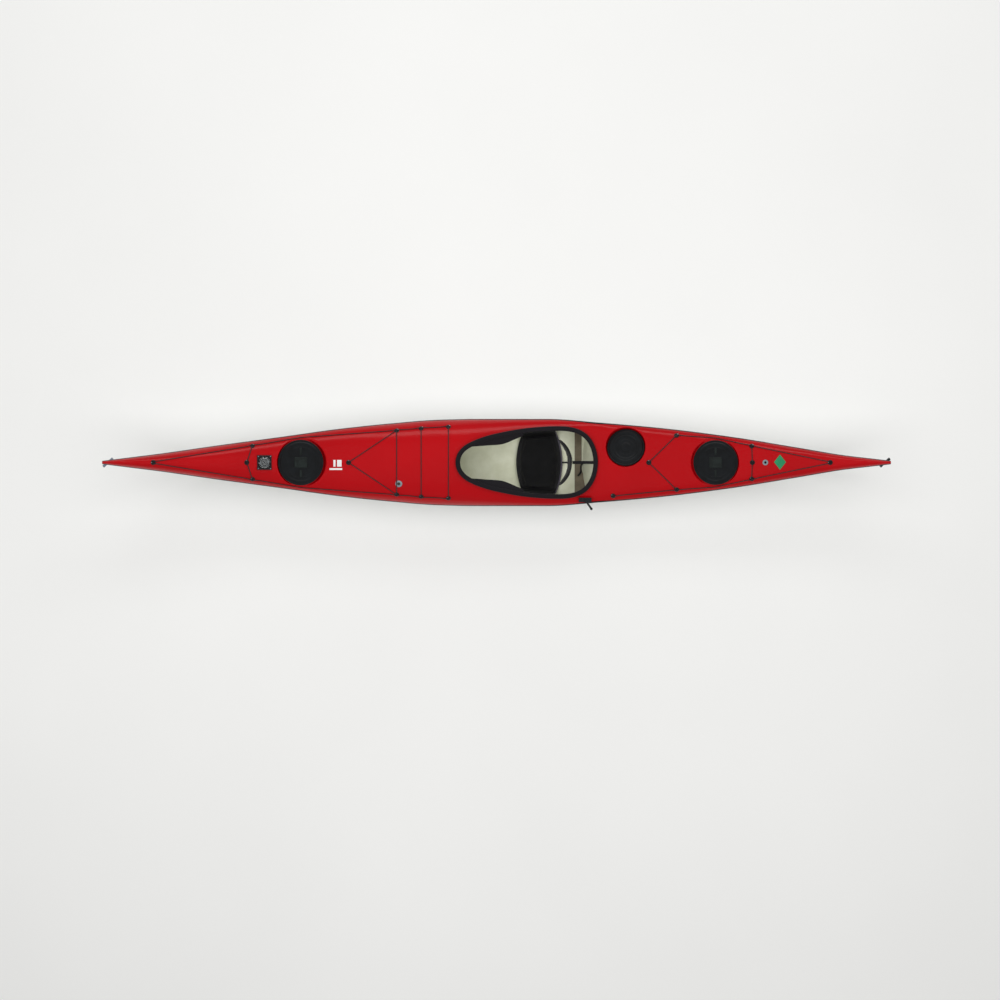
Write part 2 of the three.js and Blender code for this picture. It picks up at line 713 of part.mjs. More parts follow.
// Hatch rims and covers
hatches.forEach(({ name, radius, rimHeight, opening, place }) => {
  const bead = radius - coverSkirt - fitGap;
  const rim = turned([
    [opening, fitGap], [bead, fitGap], [bead, rimFlange], [opening + rimNeck, rimFlange],
    [opening + rimNeck, rimHeight - rimBead], [bead, rimHeight - rimBead],
    [bead, rimHeight], [opening, rimHeight],
  ]);
  addPiece(`hatch_rim_${name}`, moved(rim, place), blackPlastic);
  const under = rimHeight + fitGap;
  const top = under + coverThickness;
  const cover = turned([
    [0, under], [bead + fitGap, under], [bead + fitGap, rimFlange + fitGap],
    [radius, rimFlange + fitGap], [radius, top - coverEdge], [radius - coverEdge, top],
    [radius * coverRingShare, top + coverRib], [radius * coverDishShare, top + coverRib],
    [radius * (coverDishShare - coverStepShare), top], [radius * coverBossShare, top],
    [radius * (coverBossShare - coverStepShare), top + coverRib], [0, top + coverRib],
  ]);
  addPiece(`hatch_cover_${name}`, moved(cover, place), blackRubber);
});

// Cockpit coaming with its rim, neck and thigh braces
const braceInset = 12;
const braceDroop = 14;
const braceThickness = 5;
const braceShares = [
  [-0.385, 0], [-0.28, 0.55], [-0.172, 0.81], [-0.14, 0.76], [-0.09, 0.58], [-0.045, 0.39],
];
const braceReach = 60;

function thighBrace(side) {
  const neck = (along) => coamingCurve(along) * coamingHalfWidth - coamingRim;
  const outer = braceShares.map(([along]) => [
    coamingCentre + along * coamingLength, side * (neck(along) + coamingNeck / 2),
  ]);
  const inner = braceShares.map(([along, reach]) => [
    coamingCentre + along * coamingLength, side * (neck(along) - reach * braceReach),
  ]);
  const top = (x, y) => {
    const along = (x - coamingCentre) / coamingLength;
    const droop = Math.max(0, neck(along) - Math.abs(y)) / braceReach;
    return coamingTop(x) - braceInset - droop * braceDroop;
  };
  return slab([...outer, ...inner.reverse()], [], top, (x, y) => top(x, y) - braceThickness);
}

const coamingRimPlate = slab(
  coamingOutline(0), [openingOutline],
  coamingTop, (x) => coamingTop(x) - coamingRimThickness,
);
const coamingNeckWall = slab(
  neckOutline, [openingOutline],
  (x) => coamingTop(x) - coamingRimThickness / 2,
  (x, y) => Math.min(coamingTop(x) - 2 * coamingRimThickness, deckHeight(x, y) - coamingNeckDrop),
);
const coaming = coamingRimPlate.add(coamingNeckWall).add(thighBrace(1)).add(thighBrace(-1));
addPiece('cockpit_coaming', coaming, blackGelcoat);

// Bulkheads, cut to the inside of the hull and the deck
const bulkheadThickness = 6;
const frontBulkheadShare = -0.396;
const sternBulkheadShare = 0.421;
const dayBulkheadForward = 109.8;
const [, dayHatch, sternHatch] = hatches;
const dayHatchRear = dayHatch.x + dayHatch.radius;
const betweenHatches = sternHatch.x - sternHatch.radius - dayHatchRear;
const bulkheads = [
  { name: 'front', x: frontBulkheadShare * halfLength, lean: 0 },
  { name: 'day', x: coamingRear - dayBulkheadForward, lean: 30 },
  { name: 'stern', x: dayHatchRear + sternBulkheadShare * betweenHatches, lean: 0 },
];

// Skeg case over the slot, with the blade's pin across it
const skegCaseOuter = block(
  [skegCaseFront - skegCaseWall, -skegSlot / 2 - skegCaseWall, 0],
  [skegCaseRear + skegCaseWall, skegSlot / 2 + skegCaseWall, skegCaseTop + skegCaseWall],
);
const skegPivot = new THREE.Vector3(skegPivotX, 0, skegPivotZ);
const acrossBoat = new THREE.Vector3(0, 1, 0);
const skegPinReach = (skegSlot + skegCaseWall) / 2;
const skegPin = moved(
  cylinder(skegPinRadius, -skegPinReach, skegPinReach, smallRoundCount),
  placeAt(skegPivot, acrossBoat),
);
const skegCase = skegCaseOuter.intersect(innerSpace).subtract(skegSlotSolid).add(skegPin);
addPiece('skeg_case', skegCase, bladePlastic);

// The blade: shares of its length and depth from the pivot
const skegBladeShares = [
  [-0.11, 0.02], [-0.08, -0.16], [0, -0.2], [0.78, -0.2], [0.97, -0.02], [1, 0.3],
  [0.94, 0.68], [0.74, 0.78], [0.3, 0.55], [0, 0.36], [-0.09, 0.2],
];
const bladeOutline = new THREE.Shape(skegBladeShares.map(([along, up]) => (
  new THREE.Vector2(along * skegLength, up * skegDepth)
)));
const bladeRise = keelAt(skegCaseRear) - keelAt(skegPivotX);
const bladeGeometry = new THREE.ExtrudeGeometry(bladeOutline, { depth: skegThickness, bevelEnabled: false });
bladeGeometry.translate(0, 0, -skegThickness / 2);
bladeGeometry.rotateX(Math.PI / 2);
bladeGeometry.rotateY(-Math.atan(bladeRise / (skegCaseRear - skegPivotX)));
bladeGeometry.translate(skegPivotX, 0, skegPivotZ);
const bladeBore = moved(
  cylinder(skegPinRadius + 2 * fitGap, -skegSlot, skegSlot, smallRoundCount),
  placeAt(skegPivot, acrossBoat),
);
addPiece('skeg_blade', solidUp(bladeGeometry).subtract(bladeBore), bladePlastic);

// Cable tube from the control to the skeg case: shares of the way aft, then across and up
const cableStraight = 4 * cableRadius;
const cableSpan = skegCaseFront - cableStraight - stubPlace.x;
const cableRoute = [
  [0, stubPlace.y, stubEnd - fitGap], [0, stubPlace.y, stubEnd - 2 * stubRadius],
  [0.036, -236, 172], [0.113, -224, 165], [0.228, -212, 166], [0.373, -192, 170],
  [0.517, -168, 174], [0.661, -140, 180], [0.806, -104, 186], [0.902, -66, 188],
  [0.969, -26, 188], [1, 0, 188],
].map(([along, y, z]) => new THREE.Vector3(stubPlace.x + along * cableSpan, y, z));
const cableEnd = cableRoute.at(-1).clone().setX(skegCaseFront - skegCaseWall - fitGap);
cableRoute.push(cableEnd);
addPiece('skeg_cable_tube', tube(cableRoute, cableRadius, cableSides), blackPlastic);
const cableHole = tube(cableRoute, cableRadius + cableClearance, cableSides);

bulkheads.forEach(({ name, x, lean }) => {
  const turn = new THREE.Matrix4().makeRotationY(THREE.MathUtils.degToRad(lean));
  const place = movedTo(new THREE.Vector3(x, 0, 0)).multiply(turn);
  const plate = moved(block(
    [-bulkheadThickness / 2, -beam, -endHeight],
    [bulkheadThickness / 2, beam, 2 * endHeight],
  ), place);
  addPiece(`bulkhead_${name}`, plate.intersect(innerSpace).subtract(cableHole), creamLaminate);
});

// Seat: a pan hung from the coaming, with its pad
const seatFront = 130;
const seatCornerBack = 38;
const seatRear = 428;
const seatRearCorner = 41;
const seatThickness = 5;
const seatFloor = 30;
const seatSideRise = 12;
const seatRows = 6;
const seatShares = [
  [-1, 1], [-0.985, 0.72], [-0.95, 0.42], [-0.86, 0.16], [-0.62, 0.05], [-0.3, 0.01], [0, 0],
  [0.3, 0.01], [0.62, 0.05], [0.86, 0.16], [0.95, 0.42], [0.985, 0.72], [1, 1],
];
const seatSideStart = 0.62;
const seatSideFull = 0.95;
const padThickness = 15;
const padEdge = 5;
const padReach = 0.9;
const openingWidth = (x) => (
  coamingCurve((x - coamingCentre) / coamingLength) * coamingHalfWidth - coamingRim
);
const openingPrism = slab(
  coamingOutline(coamingRim + fitGap), [], () => 2 * endHeight, () => 0,
);

function seatX(along, across) {
  const front = seatFront + seatCornerBack * across * across;
  const rear = seatRear - seatRearCorner * across * across;
  return front + (rear - front) * along;
}

function seatPoint(along, across, heightShare) {
  const x = seatX(along, across);
  const width = openingWidth(x) - fitGap - seatThickness;
  const top = deckHeight(x, width) + seatSideRise - coamingNeckDrop;
  return [x, across * width, seatFloor + (top - seatFloor) * heightShare];
}

const panTop = Array.from({ length: seatRows + 1 }, (_, i) => (
  seatShares.map(([across, height]) => seatPoint(i / seatRows, across, height))
));
const panOffset = (i, j) => {
  const [across] = seatShares[j];
  const turn = (Math.abs(across) - seatSideStart) / (seatSideFull - seatSideStart);
  const lean = Math.min(1, Math.max(0, turn));
  return [0, -Math.sign(across) * seatThickness * lean, seatThickness * (1 - lean)];
};
addPiece('seat_pan', sheet(panTop, panOffset).intersect(openingPrism), blackPlastic);

const padInset = 0.05;
const padShares = seatShares.filter(([across]) => Math.abs(across) < padReach);
const padEnd = padShares.length - 1;

// The pad's thickness: thin at its edges, with a crown between them
function padDepth(i, j) {
  const edge = Math.min(i, seatRows - i, j, padEnd - j);
  return edge === 0 ? padEdge : padThickness;
}
const padTop = Array.from({ length: seatRows + 1 }, (_, i) => padShares.map(([across, height], j) => {
  const along = Math.min(1 - padInset, Math.max(padInset, i / seatRows));
  const [x, y, z] = seatPoint(along, across, height);
  return [x, y, z + padDepth(i, j) + 2 * fitGap];
}));
addPiece('seat_pad', sheet(padTop, (i, j) => [0, 0, padDepth(i, j)]), blackFoam);

// Backband: an arc across the seat's rear with a tab to each side, and its rear strap
const bandChord = 310;
const bandSagitta = 78;
const bandRear = 503;
const bandPad = 14;
const bandTop = 236;
const bandFoot = 112;
const bandEndDrop = 34;
const bandEndRise = 22;
const bandLean = 24;
const bandSteps = 12;
const tabThickness = 4;
const tabHeight = 34;
const tabFrontX = 372;
const tabReachShare = 0.96;
const strapWidth = 20;
const strapThickness = 3;
const bandRadius = (bandChord * bandChord / 4 + bandSagitta * bandSagitta) / (2 * bandSagitta);
const bandHalfAngle = Math.asin(bandChord / 2 / bandRadius);

function bandArc(radius) {
  return Array.from({ length: bandSteps + 1 }, (_, i) => {
    const angle = bandHalfAngle * (-1 + (2 * i) / bandSteps);
    return [bandRear - bandRadius + radius * Math.cos(angle), radius * Math.sin(angle)];
  });
}
const bandEnd = (y) => (2 * Math.abs(y) / bandChord) ** 2;
const bandCurve = slab(
  [...bandArc(bandRadius), ...bandArc(bandRadius - bandPad).reverse()], [],
  (x, y) => bandTop - bandEndDrop * bandEnd(y), (x, y) => bandFoot + bandEndRise * bandEnd(y),
);
const tabMiddle = (bandTop + bandFoot - bandEndDrop + bandEndRise) / 2;

// The band leans: its foot is forward of its top
const leanSlope = bandLean / (bandTop - bandFoot);
const leaning = new THREE.Matrix4().makeShear(0, 0, 0, 0, leanSlope, 0)
  .premultiply(movedTo(new THREE.Vector3(-leanSlope * bandTop, 0, 0)));
const tabFront = tabFrontX + leanSlope * (bandTop - tabMiddle);

function bandTab(side) {
  const [endX, endY] = bandArc(bandRadius - bandPad / 2)[bandSteps];
  const reach = tabReachShare * (openingWidth(tabFrontX) - fitGap - seatThickness) - fitGap;
  const outline = [
    [endX, side * (endY - tabThickness)], [tabFront, side * (reach - tabThickness)],
    [tabFront, side * reach], [endX, side * endY],
  ];
  return slab(outline, [], () => tabMiddle + tabHeight / 2, () => tabMiddle - tabHeight / 2);
}
addPiece('backband', moved(bandCurve.add(bandTab(1)).add(bandTab(-1)), leaning), blackFoam);

const strapRear = coamingRear - coamingRim;
const strapFrontZ = bandTop - strapWidth;
const strapFront = bandRear + fitGap - leanSlope * (bandTop - strapFrontZ);
const strapRearZ = coamingTop(strapRear) - 2 * coamingRimThickness;
const strapHeight = (x) => (
  strapFrontZ + (strapRearZ - strapFrontZ) * (x - strapFront) / (strapRear - strapFront)
);
addPiece('backband_strap', slab(
  [[strapFront, -strapWidth / 2], [strapRear, -strapWidth / 2],
    [strapRear, strapWidth / 2], [strapFront, strapWidth / 2]],
  [], strapHeight, (x) => strapHeight(x) - strapThickness,
).intersect(openingPrism), blackCord);

// Footrests: a rail on each side with a sliding pedal
const railRearX = -430;
const railLength = 370;
const railZ = 106;
const railHeight = 26;
const railThickness = 10;
const railStandOff = 28;
const railMountHeight = 14;
const pedalLength = 60;
const pedalWall = 5;
const pedalWidth = 66;
const pedalHeight = 92;
const pedalLowShare = 0.3;
const pedalThickness = 9;
const railPlace = (x) => hullWidth(x, railZ) - hullWall - railStandOff;
const railTurn = Math.atan((railPlace(railRearX) - railPlace(railRearX - railLength)) / railLength);

[['port', -1], ['starboard', 1]].forEach(([name, side]) => {
  const place = new THREE.Matrix4().makeRotationZ(side * railTurn)
    .setPosition(railRearX - railLength / 2, side * railPlace(railRearX - railLength / 2), railZ);
  const bar = (low, high) => (side > 0
    ? block(low, high)
    : block([low[0], -high[1], low[2]], [high[0], -low[1], high[2]]));
  const rail = bar(
    [-railLength / 2, 0, -railHeight / 2],
    [railLength / 2, railThickness, railHeight / 2],
  ).add(bar(
    [-railLength / 2, railThickness / 2, -railMountHeight / 2],
    [railLength / 2, 3 * railStandOff, railMountHeight / 2],
  ));
  addPiece(`footrest_rail_${name}`, moved(rail, place).intersect(innerSpace), blackPlastic);
  const slider = bar(
    [-pedalLength / 2, -pedalWall, -railHeight / 2 - pedalWall],
    [pedalLength / 2, railThickness - pedalWall / 2, railHeight / 2 + pedalWall],
  ).subtract(bar(
    [-pedalLength, -fitGap, -railHeight / 2 - fitGap],
    [pedalLength, 2 * railThickness, railHeight / 2 + fitGap],
  ));
  const plate = bar(
    [-pedalThickness / 2, -pedalWidth, -pedalHeight * pedalLowShare],
    [pedalThickness / 2, -pedalWall / 2, pedalHeight * (1 - pedalLowShare)],
  );
  addPiece(`footrest_pedal_${name}`, moved(slider.add(plate), place), blackPlastic);
});

// Deck compass: base, turning card and clear dome
const compassXShare = -0.5885;
const compassSide = 96;
const compassBaseHeight = 8;
const compassSkirt = 20;
const compassWell = 33;
const compassWellDepth = 7;
const compassCardRadius = 28;
const compassCardThickness = 4;
const compassPin = 2.5;
const compassPinHeight = 4;
const compassDomeRadius = 36;
const compassDomeHeight = 18;
const compassDomeWall = 2;
const compassX = compassXShare * halfLength;
const compassPlace = placeAt(
  new THREE.Vector3(compassX, 0, deckFacetHeight(compassX, 0)), deckNormal(compassX, 0),
);
const compassFloor = compassBaseHeight - compassWellDepth;
const compassBase = moved(
  block(
    [-compassSide / 2, -compassSide / 2, -compassSkirt],
    [compassSide / 2, compassSide / 2, compassBaseHeight],
  ).subtract(cylinder(compassWell, compassFloor, 2 * compassBaseHeight))
    .add(cylinder(compassPin, 0, compassFloor + compassPinHeight, pinCount)),
  compassPlace,
).subtract(deckClear);
addPiece('compass_base', compassBase, blackPlastic);

const cardLow = compassFloor + fitGap;
const cardHigh = cardLow + compassCardThickness;
const compassCard = turned([
  [compassPin + fitGap, cardLow], [compassCardRadius, cardLow],
  [compassCardRadius, cardHigh], [compassPin + fitGap, cardHigh],
]);
addPiece('compass_card', moved(compassCard, compassPlace), whiteCard);

function domeCurve(radius, height, base) {
  return Array.from({ length: domeCount + 1 }, (_, i) => {
    const angle = (Math.PI / 2) * (i / domeCount);
    return [radius * Math.sin(angle), base + height * Math.cos(angle)];
  });
}
const domeBase = compassBaseHeight + fitGap;
const compassDome = turned([
  ...domeCurve(compassDomeRadius, compassDomeHeight, domeBase),
  ...domeCurve(compassDomeRadius - compassDomeWall, compassDomeHeight - compassDomeWall, domeBase).reverse(),
].map(([radius, height]) => [Math.max(0, radius), height]), fittingRoundCount);
addPiece('compass_dome', moved(compassDome, compassPlace), clearDome);

addPiece('pump_outlet', pumpFitting.solid, greyPlastic);
addPiece('stern_socket', socketFitting.solid, greyPlastic);

// End toggles on their cord loops: the route is across the boat and down from the hole
const toggleRoute = [
  [3.2, -113], [3.2, -95], [4.4, -80], [7.2, -55], [10.6, -30], [12.9, -14], [12.6, -8.4],
  [10.8, -4.4], [7.6, -1.2], [3.8, 0.8], [0, 1.4],
];
const toggleLegs = [...toggleRoute, ...toggleRoute.slice(0, -1).map(([y, z]) => [-y, z]).reverse()];
const toggleProfileShares = [
  [0, -0.5], [0.84, -0.5], [1, -0.44], [0.86, -0.16], [toggleWaistShare, -0.09],
  [toggleWaistShare, 0.09], [0.86, 0.16], [1, 0.44], [0.84, 0.5], [0, 0.5],
];
[
  ['bow', toggleHoles[0], paleCord, greyPlastic],
  ['stern', toggleHoles[1], blackCord, blackPlastic],
].forEach(([name, hole, cordFinish, barFinish]) => {
  const route = toggleLegs.map(([y, z]) => new THREE.Vector3(hole.x, y, hole.z + z));
  addPiece(`${name}_toggle_cord`, tube(route, toggleCordRadius, cordCount), cordFinish);
  const bar = turned(toggleProfileShares.map(([out, along]) => [
    out * toggleBarRadius, along * toggleBarLength,
  ]), barCount);
  const yaw = THREE.MathUtils.degToRad(toggleYaw);
  const centre = hole.clone().add(new THREE.Vector3(0, 0, -toggleDrop));
  const along = new THREE.Vector3(Math.cos(yaw), Math.sin(yaw), 0);
  const place = placeAt(centre, along, new THREE.Vector3(0, 0, 1));
  const boreReach = 2 * toggleWaistShare * toggleBarRadius;
  const bore = moved(cylinder(toggleBore, -boreReach, boreReach, smallRoundCount), movedTo(centre));
  addPiece(`${name}_toggle`, moved(bar, place).subtract(bore), barFinish);
});

// Deck fittings: shares of the half length and of the deck's half width there
const fittingRadius = 17;
const fittingBore = 8;
const fittingHeight = 4;
const fittingChamfer = 4;
const fittingBeforeCoaming = 44.1;
const beforeCoamingShare = (coamingFront - fittingBeforeCoaming) / halfLength;
const fittingBehindHatch = 29.4;
const behindHatchShare = (dayHatchRear + fittingBehindHatch) / halfLength;
const fittingShares = {
  bow_end: [-0.87, 0],
  fore_centre: [-0.633, 0],
  fore_port_1: [-0.6185, -0.78],
  fore_starboard_1: [-0.6185, 0.78],
  fore_ridge: [-0.375, 0],
  fore_port_2: [-0.253, -0.815],
  fore_starboard_2: [-0.253, 0.815],
  fore_port_3: [-0.191, -0.825],
  fore_starboard_3: [-0.191, 0.825],
  fore_port_4: [beforeCoamingShare, -0.838],
  fore_starboard_4: [beforeCoamingShare, 0.838],
  aft_port_1: [0.2955, -0.868],
  aft_ridge: [behindHatchShare, 0],
  aft_port_2: [0.4565, -0.836],
  aft_starboard_2: [0.4565, 0.836],
  aft_port_3: [0.647, -0.742],
  aft_starboard_3: [0.647, 0.742],
  aft_centre: [0.6485, 0],
  stern_end: [0.846, 0],
};
const fittings = Object.fromEntries(Object.entries(fittingShares).map(([name, [along, across]]) => {
  const x = along * halfLength;
  const y = across * halfBeamAt(x);
  return [name, { x, y, place: deckSeat(x, y, fittingRadius) }];
}));
Object.entries(fittings).forEach(([name, { place }]) => {
  const ring = turned([
    [fittingBore, 0], [fittingRadius, 0],
    [fittingRadius - fittingChamfer, fittingHeight], [fittingBore, fittingHeight],
  ], barCount);
  addPiece(`fitting_${name}`, moved(ring, place), blackPlastic);
});

// Deck lines run over the fittings and follow the deck between them
const lineRadius = 2.8;
const lineAcrossStep = 32;
const lineAlongStep = 130;
const lineSlack = 0.8;
const lineArch = 1.6;
const lineSides = 5;
const lineStack = 5.2;
const lineLift = fittingHeight + fitGap + lineRadius;

function lineRun(from, to, level) {
  const lift = lineLift + level * lineStack;
  const count = Math.ceil(
    Math.abs(to.x - from.x) / lineAlongStep + Math.abs(to.y - from.y) / lineAcrossStep,
  );
  return Array.from({ length: count + 1 }, (_, i) => {
    const t = i / count;
    const end = [from, to][Math.round(t)];
    if ((t === 0 || t === 1) && end.place) {
      return new THREE.Vector3(0, 0, lift + lineArch).applyMatrix4(end.place);
    }
    const x = from.x + (to.x - from.x) * t;
    const y = from.y + (to.y - from.y) * t;
    const point = new THREE.Vector3(x, y, deckFacetHeight(x, y));
    return point.addScaledVector(deckNormal(x, y), lift + lineSlack);
  });
}

function deckLine(stops, level = 0) {
  const places = stops.map((stop) => (typeof stop === 'string' ? fittings[stop] : stop));
  const points = places.slice(1).flatMap((place, i) => {
    const run = lineRun(places[i], place, level);
    return i === 0 ? run : run.slice(1);
  });
  return tube(points, lineRadius, lineSides);
}

// Where a line passes a hatch, it keeps outside the recess
function besideHatch(index, side) {
  const hatch = hatches[index];
  return { x: hatch.x, y: side * (hatch.radius + hatchRecessGap + 3 * lineRadius) };
}

const joined = (lines) => lines.reduce((whole, line) => whole.add(line));
addPiece('fore_deck_line', joined([
  ...[['port', -1], ['starboard', 1]].map(([name, side]) => deckLine([
    'bow_end', `fore_${name}_1`, besideHatch(0, side),
    `fore_${name}_2`, `fore_${name}_3`, `fore_${name}_4`,
  ])),
  deckLine(['fore_port_1', 'fore_centre', 'fore_starboard_1']),
]), blackCord);
addPiece('fore_v_bungee', joined([
  deckLine(['fore_port_2', 'fore_ridge', 'fore_starboard_2'], 1),
  deckLine(['fore_port_2', 'fore_starboard_2'], 1),
]), blackCord);
addPiece('fore_bungee_1', deckLine(['fore_port_3', 'fore_starboard_3'], 1), blackCord);
addPiece('fore_bungee_2', deckLine(['fore_port_4', 'fore_starboard_4'], 1), blackCord);
addPiece('aft_deck_line', joined([
  ...[['port', -1], ['starboard', 1]].map(([name, side]) => deckLine([
    `aft_${name}_2`, besideHatch(2, side), `aft_${name}_3`, 'stern_end',
  ])),
  deckLine(['aft_port_1', 'aft_port_2', 'aft_ridge', 'aft_starboard_2']),
  deckLine(['aft_port_3', 'aft_centre', 'aft_starboard_3']),
]), blackCord);

export default model;
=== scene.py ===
import json
import math

import bpy
from mathutils import Matrix, Vector
from mathutils.geometry import delaunay_2d_cdt


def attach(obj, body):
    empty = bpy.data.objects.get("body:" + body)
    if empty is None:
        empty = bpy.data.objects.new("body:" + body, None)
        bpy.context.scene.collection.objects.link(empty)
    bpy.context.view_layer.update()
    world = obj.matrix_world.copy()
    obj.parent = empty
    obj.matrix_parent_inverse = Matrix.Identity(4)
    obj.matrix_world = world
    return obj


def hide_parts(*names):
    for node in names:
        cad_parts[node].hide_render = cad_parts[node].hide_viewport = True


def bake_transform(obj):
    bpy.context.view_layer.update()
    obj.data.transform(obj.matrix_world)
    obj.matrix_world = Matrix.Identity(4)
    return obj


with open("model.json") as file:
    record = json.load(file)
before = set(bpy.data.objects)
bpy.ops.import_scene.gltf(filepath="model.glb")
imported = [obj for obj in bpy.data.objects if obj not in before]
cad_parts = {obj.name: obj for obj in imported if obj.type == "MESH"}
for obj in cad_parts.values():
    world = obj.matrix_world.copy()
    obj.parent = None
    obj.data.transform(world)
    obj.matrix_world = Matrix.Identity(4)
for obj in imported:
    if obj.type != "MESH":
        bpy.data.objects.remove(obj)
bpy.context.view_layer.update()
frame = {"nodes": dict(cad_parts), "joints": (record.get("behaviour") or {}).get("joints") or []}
joints = {joint["name"]: joint for joint in frame["joints"]}
print("frame loaded:", len(frame["nodes"]), "nodes")


# Small helpers for selecting and shaping
def selectOnly(obj):
    bpy.ops.object.select_all(action="DESELECT")
    obj.select_set(True)
    bpy.context.view_layer.objects.active = obj


def newObject(name, points, faces):
    mesh = bpy.data.meshes.new(name)
    mesh.from_pydata([tuple(point) for point in points], [], faces)
    mesh.update()
    obj = bpy.data.objects.new(name, mesh)
    bpy.context.scene.collection.objects.link(obj)
    return obj


def applyModifiers(obj):
    selectOnly(obj)
    for modifier in list(obj.modifiers):
        bpy.ops.object.modifier_apply(modifier=modifier.name)


def mergeAndFaceOut(obj, distance=0.00002, outward=True):
    selectOnly(obj)
    bpy.ops.object.mode_set(mode="EDIT")
    bpy.ops.mesh.select_all(action="SELECT")
    bpy.ops.mesh.remove_doubles(threshold=distance)
    if outward:
        bpy.ops.mesh.normals_make_consistent(inside=False)
    bpy.ops.object.mode_set(mode="OBJECT")


def bevelled(obj, width, segments=2, angle=30):
    modifier = obj.modifiers.new("edges", "BEVEL")
    modifier.width = width
    modifier.segments = segments
    modifier.limit_method = "ANGLE"
    modifier.angle_limit = math.radians(angle)
    applyModifiers(obj)


# A wall built on a surface: offset -1 is under it, 0 is half on each side and 1 is over it
def walled(obj, thickness, offset=-1, innerMaterial=0, rimMaterial=0):
    modifier = obj.modifiers.new("wall", "SOLIDIFY")
    modifier.thickness = thickness
    modifier.offset = offset
    modifier.material_offset = innerMaterial
    modifier.material_offset_rim = rimMaterial
    applyModifiers(obj)


def cutWith(obj, cutter):
    modifier = obj.modifiers.new("cut", "BOOLEAN")
    modifier.operation = "DIFFERENCE"
    modifier.solver = "EXACT"
    modifier.object = cutter
    applyModifiers(obj)
    bpy.data.objects.remove(cutter)


def cutRound(obj, radius, depth, centre, turn=(0, 0, 0), steps=32):
    bpy.ops.object.select_all(action="DESELECT")
    bpy.ops.mesh.primitive_cylinder_add(
        vertices=steps, radius=radius, depth=depth, location=centre, rotation=turn
    )
    cutWith(obj, bpy.context.object)


# Turns a sheet over if it faces down, or if it faces up where way is -1
def faceUp(obj, way=1):
    if way * sum(polygon.normal.z * polygon.area for polygon in obj.data.polygons) < 0:
        obj.data.flip_normals()


def joinInto(obj, others):
    selectOnly(obj)
    for other in others:
        other.select_set(True)
    bpy.ops.object.join()
    return obj


# Puts a shape made round the origin in its place, with the place in its mesh
def settle(obj, place=None):
    if place is not None:
        obj.matrix_world = place @ obj.matrix_world
    selectOnly(obj)
    bpy.ops.object.transform_apply(location=True, rotation=True, scale=True)
    return obj


def finishPiece(obj, body, materials, nodes=(), angle=35):
    settle(obj)
    bpy.ops.object.shade_smooth_by_angle(angle=math.radians(angle))
    if not obj.data.materials:
        for material in materials:
            obj.data.materials.append(material)
    if body:
        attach(obj, body)
    if nodes:
        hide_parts(*nodes)
    return obj


# Rows of points become one surface
def gridMesh(name, rows, wrapRows=False, wrapColumns=False, capRows=False):
    columns = len(rows[0])
    faces = []
    for i in range(len(rows) if wrapRows else len(rows) - 1):
        here, there = i * columns, ((i + 1) % len(rows)) * columns
        for j in range(columns if wrapColumns else columns - 1):
            k = (j + 1) % columns
            faces.append((here + j, here + k, there + k, there + j))
    if capRows:
        last = (len(rows) - 1) * columns
        faces.append(tuple(reversed(range(columns))))
        faces.append(tuple(range(last, last + columns)))
    return newObject(name, [point for row in rows for point in row], faces)


# Two sheets of points, one over the other, closed round their edges
def closedSheet(name, top, bottom):
    rims = [
        [row[0] for row in sheet] + sheet[-1][1:] + [row[-1] for row in reversed(sheet[:-1])]
        + list(reversed(sheet[0][1:-1]))
        for sheet in (top, bottom)
    ]
    obj = gridMesh(name, top)
    return joinInto(obj, [gridMesh("under", bottom), gridMesh("rim", rims, wrapColumns=True)])


def onCircle(radius, turn, height=0.0):
    return Vector((radius * math.cos(turn), radius * math.sin(turn), height))


# A profile of radius and height, spun round the vertical axis
def spunPiece(name, profile, steps=96):
    edges = [(i, i + 1) for i in range(len(profile) - 1)]
    if profile[0][0] > 0 or profile[-1][0] > 0:
        edges.append((len(profile) - 1, 0))
    mesh = bpy.data.meshes.new(name)
    mesh.from_pydata([(radius, 0, height) for radius, height in profile], edges, [])
    obj = bpy.data.objects.new(name, mesh)
    bpy.context.scene.collection.objects.link(obj)
    selectOnly(obj)
    bpy.ops.object.mode_set(mode="EDIT")
    bpy.ops.mesh.select_all(action="SELECT")
    bpy.ops.mesh.spin(steps=steps, angle=2 * math.pi, center=(0, 0, 0), axis=(0, 0, 1))
    bpy.ops.object.mode_set(mode="OBJECT")
    mergeAndFaceOut(obj)
    return obj


# A box primitive with rounded edges, in metres from its middle
def roundedBox(name, size, centre, radius, segments=3):
    bpy.ops.object.select_all(action="DESELECT")
    bpy.ops.mesh.primitive_cube_add(size=1, location=centre)
    obj = bpy.context.object
    obj.name = name
    obj.scale = size
    bpy.ops.object.transform_apply(location=True, rotation=True, scale=True)
    bpy.ops.object.mode_set(mode="EDIT")
    bpy.ops.mesh.select_all(action="SELECT")
    bpy.ops.mesh.bevel(offset=radius, segments=segments, affect="EDGES")
    bpy.ops.object.mode_set(mode="OBJECT")
    return obj


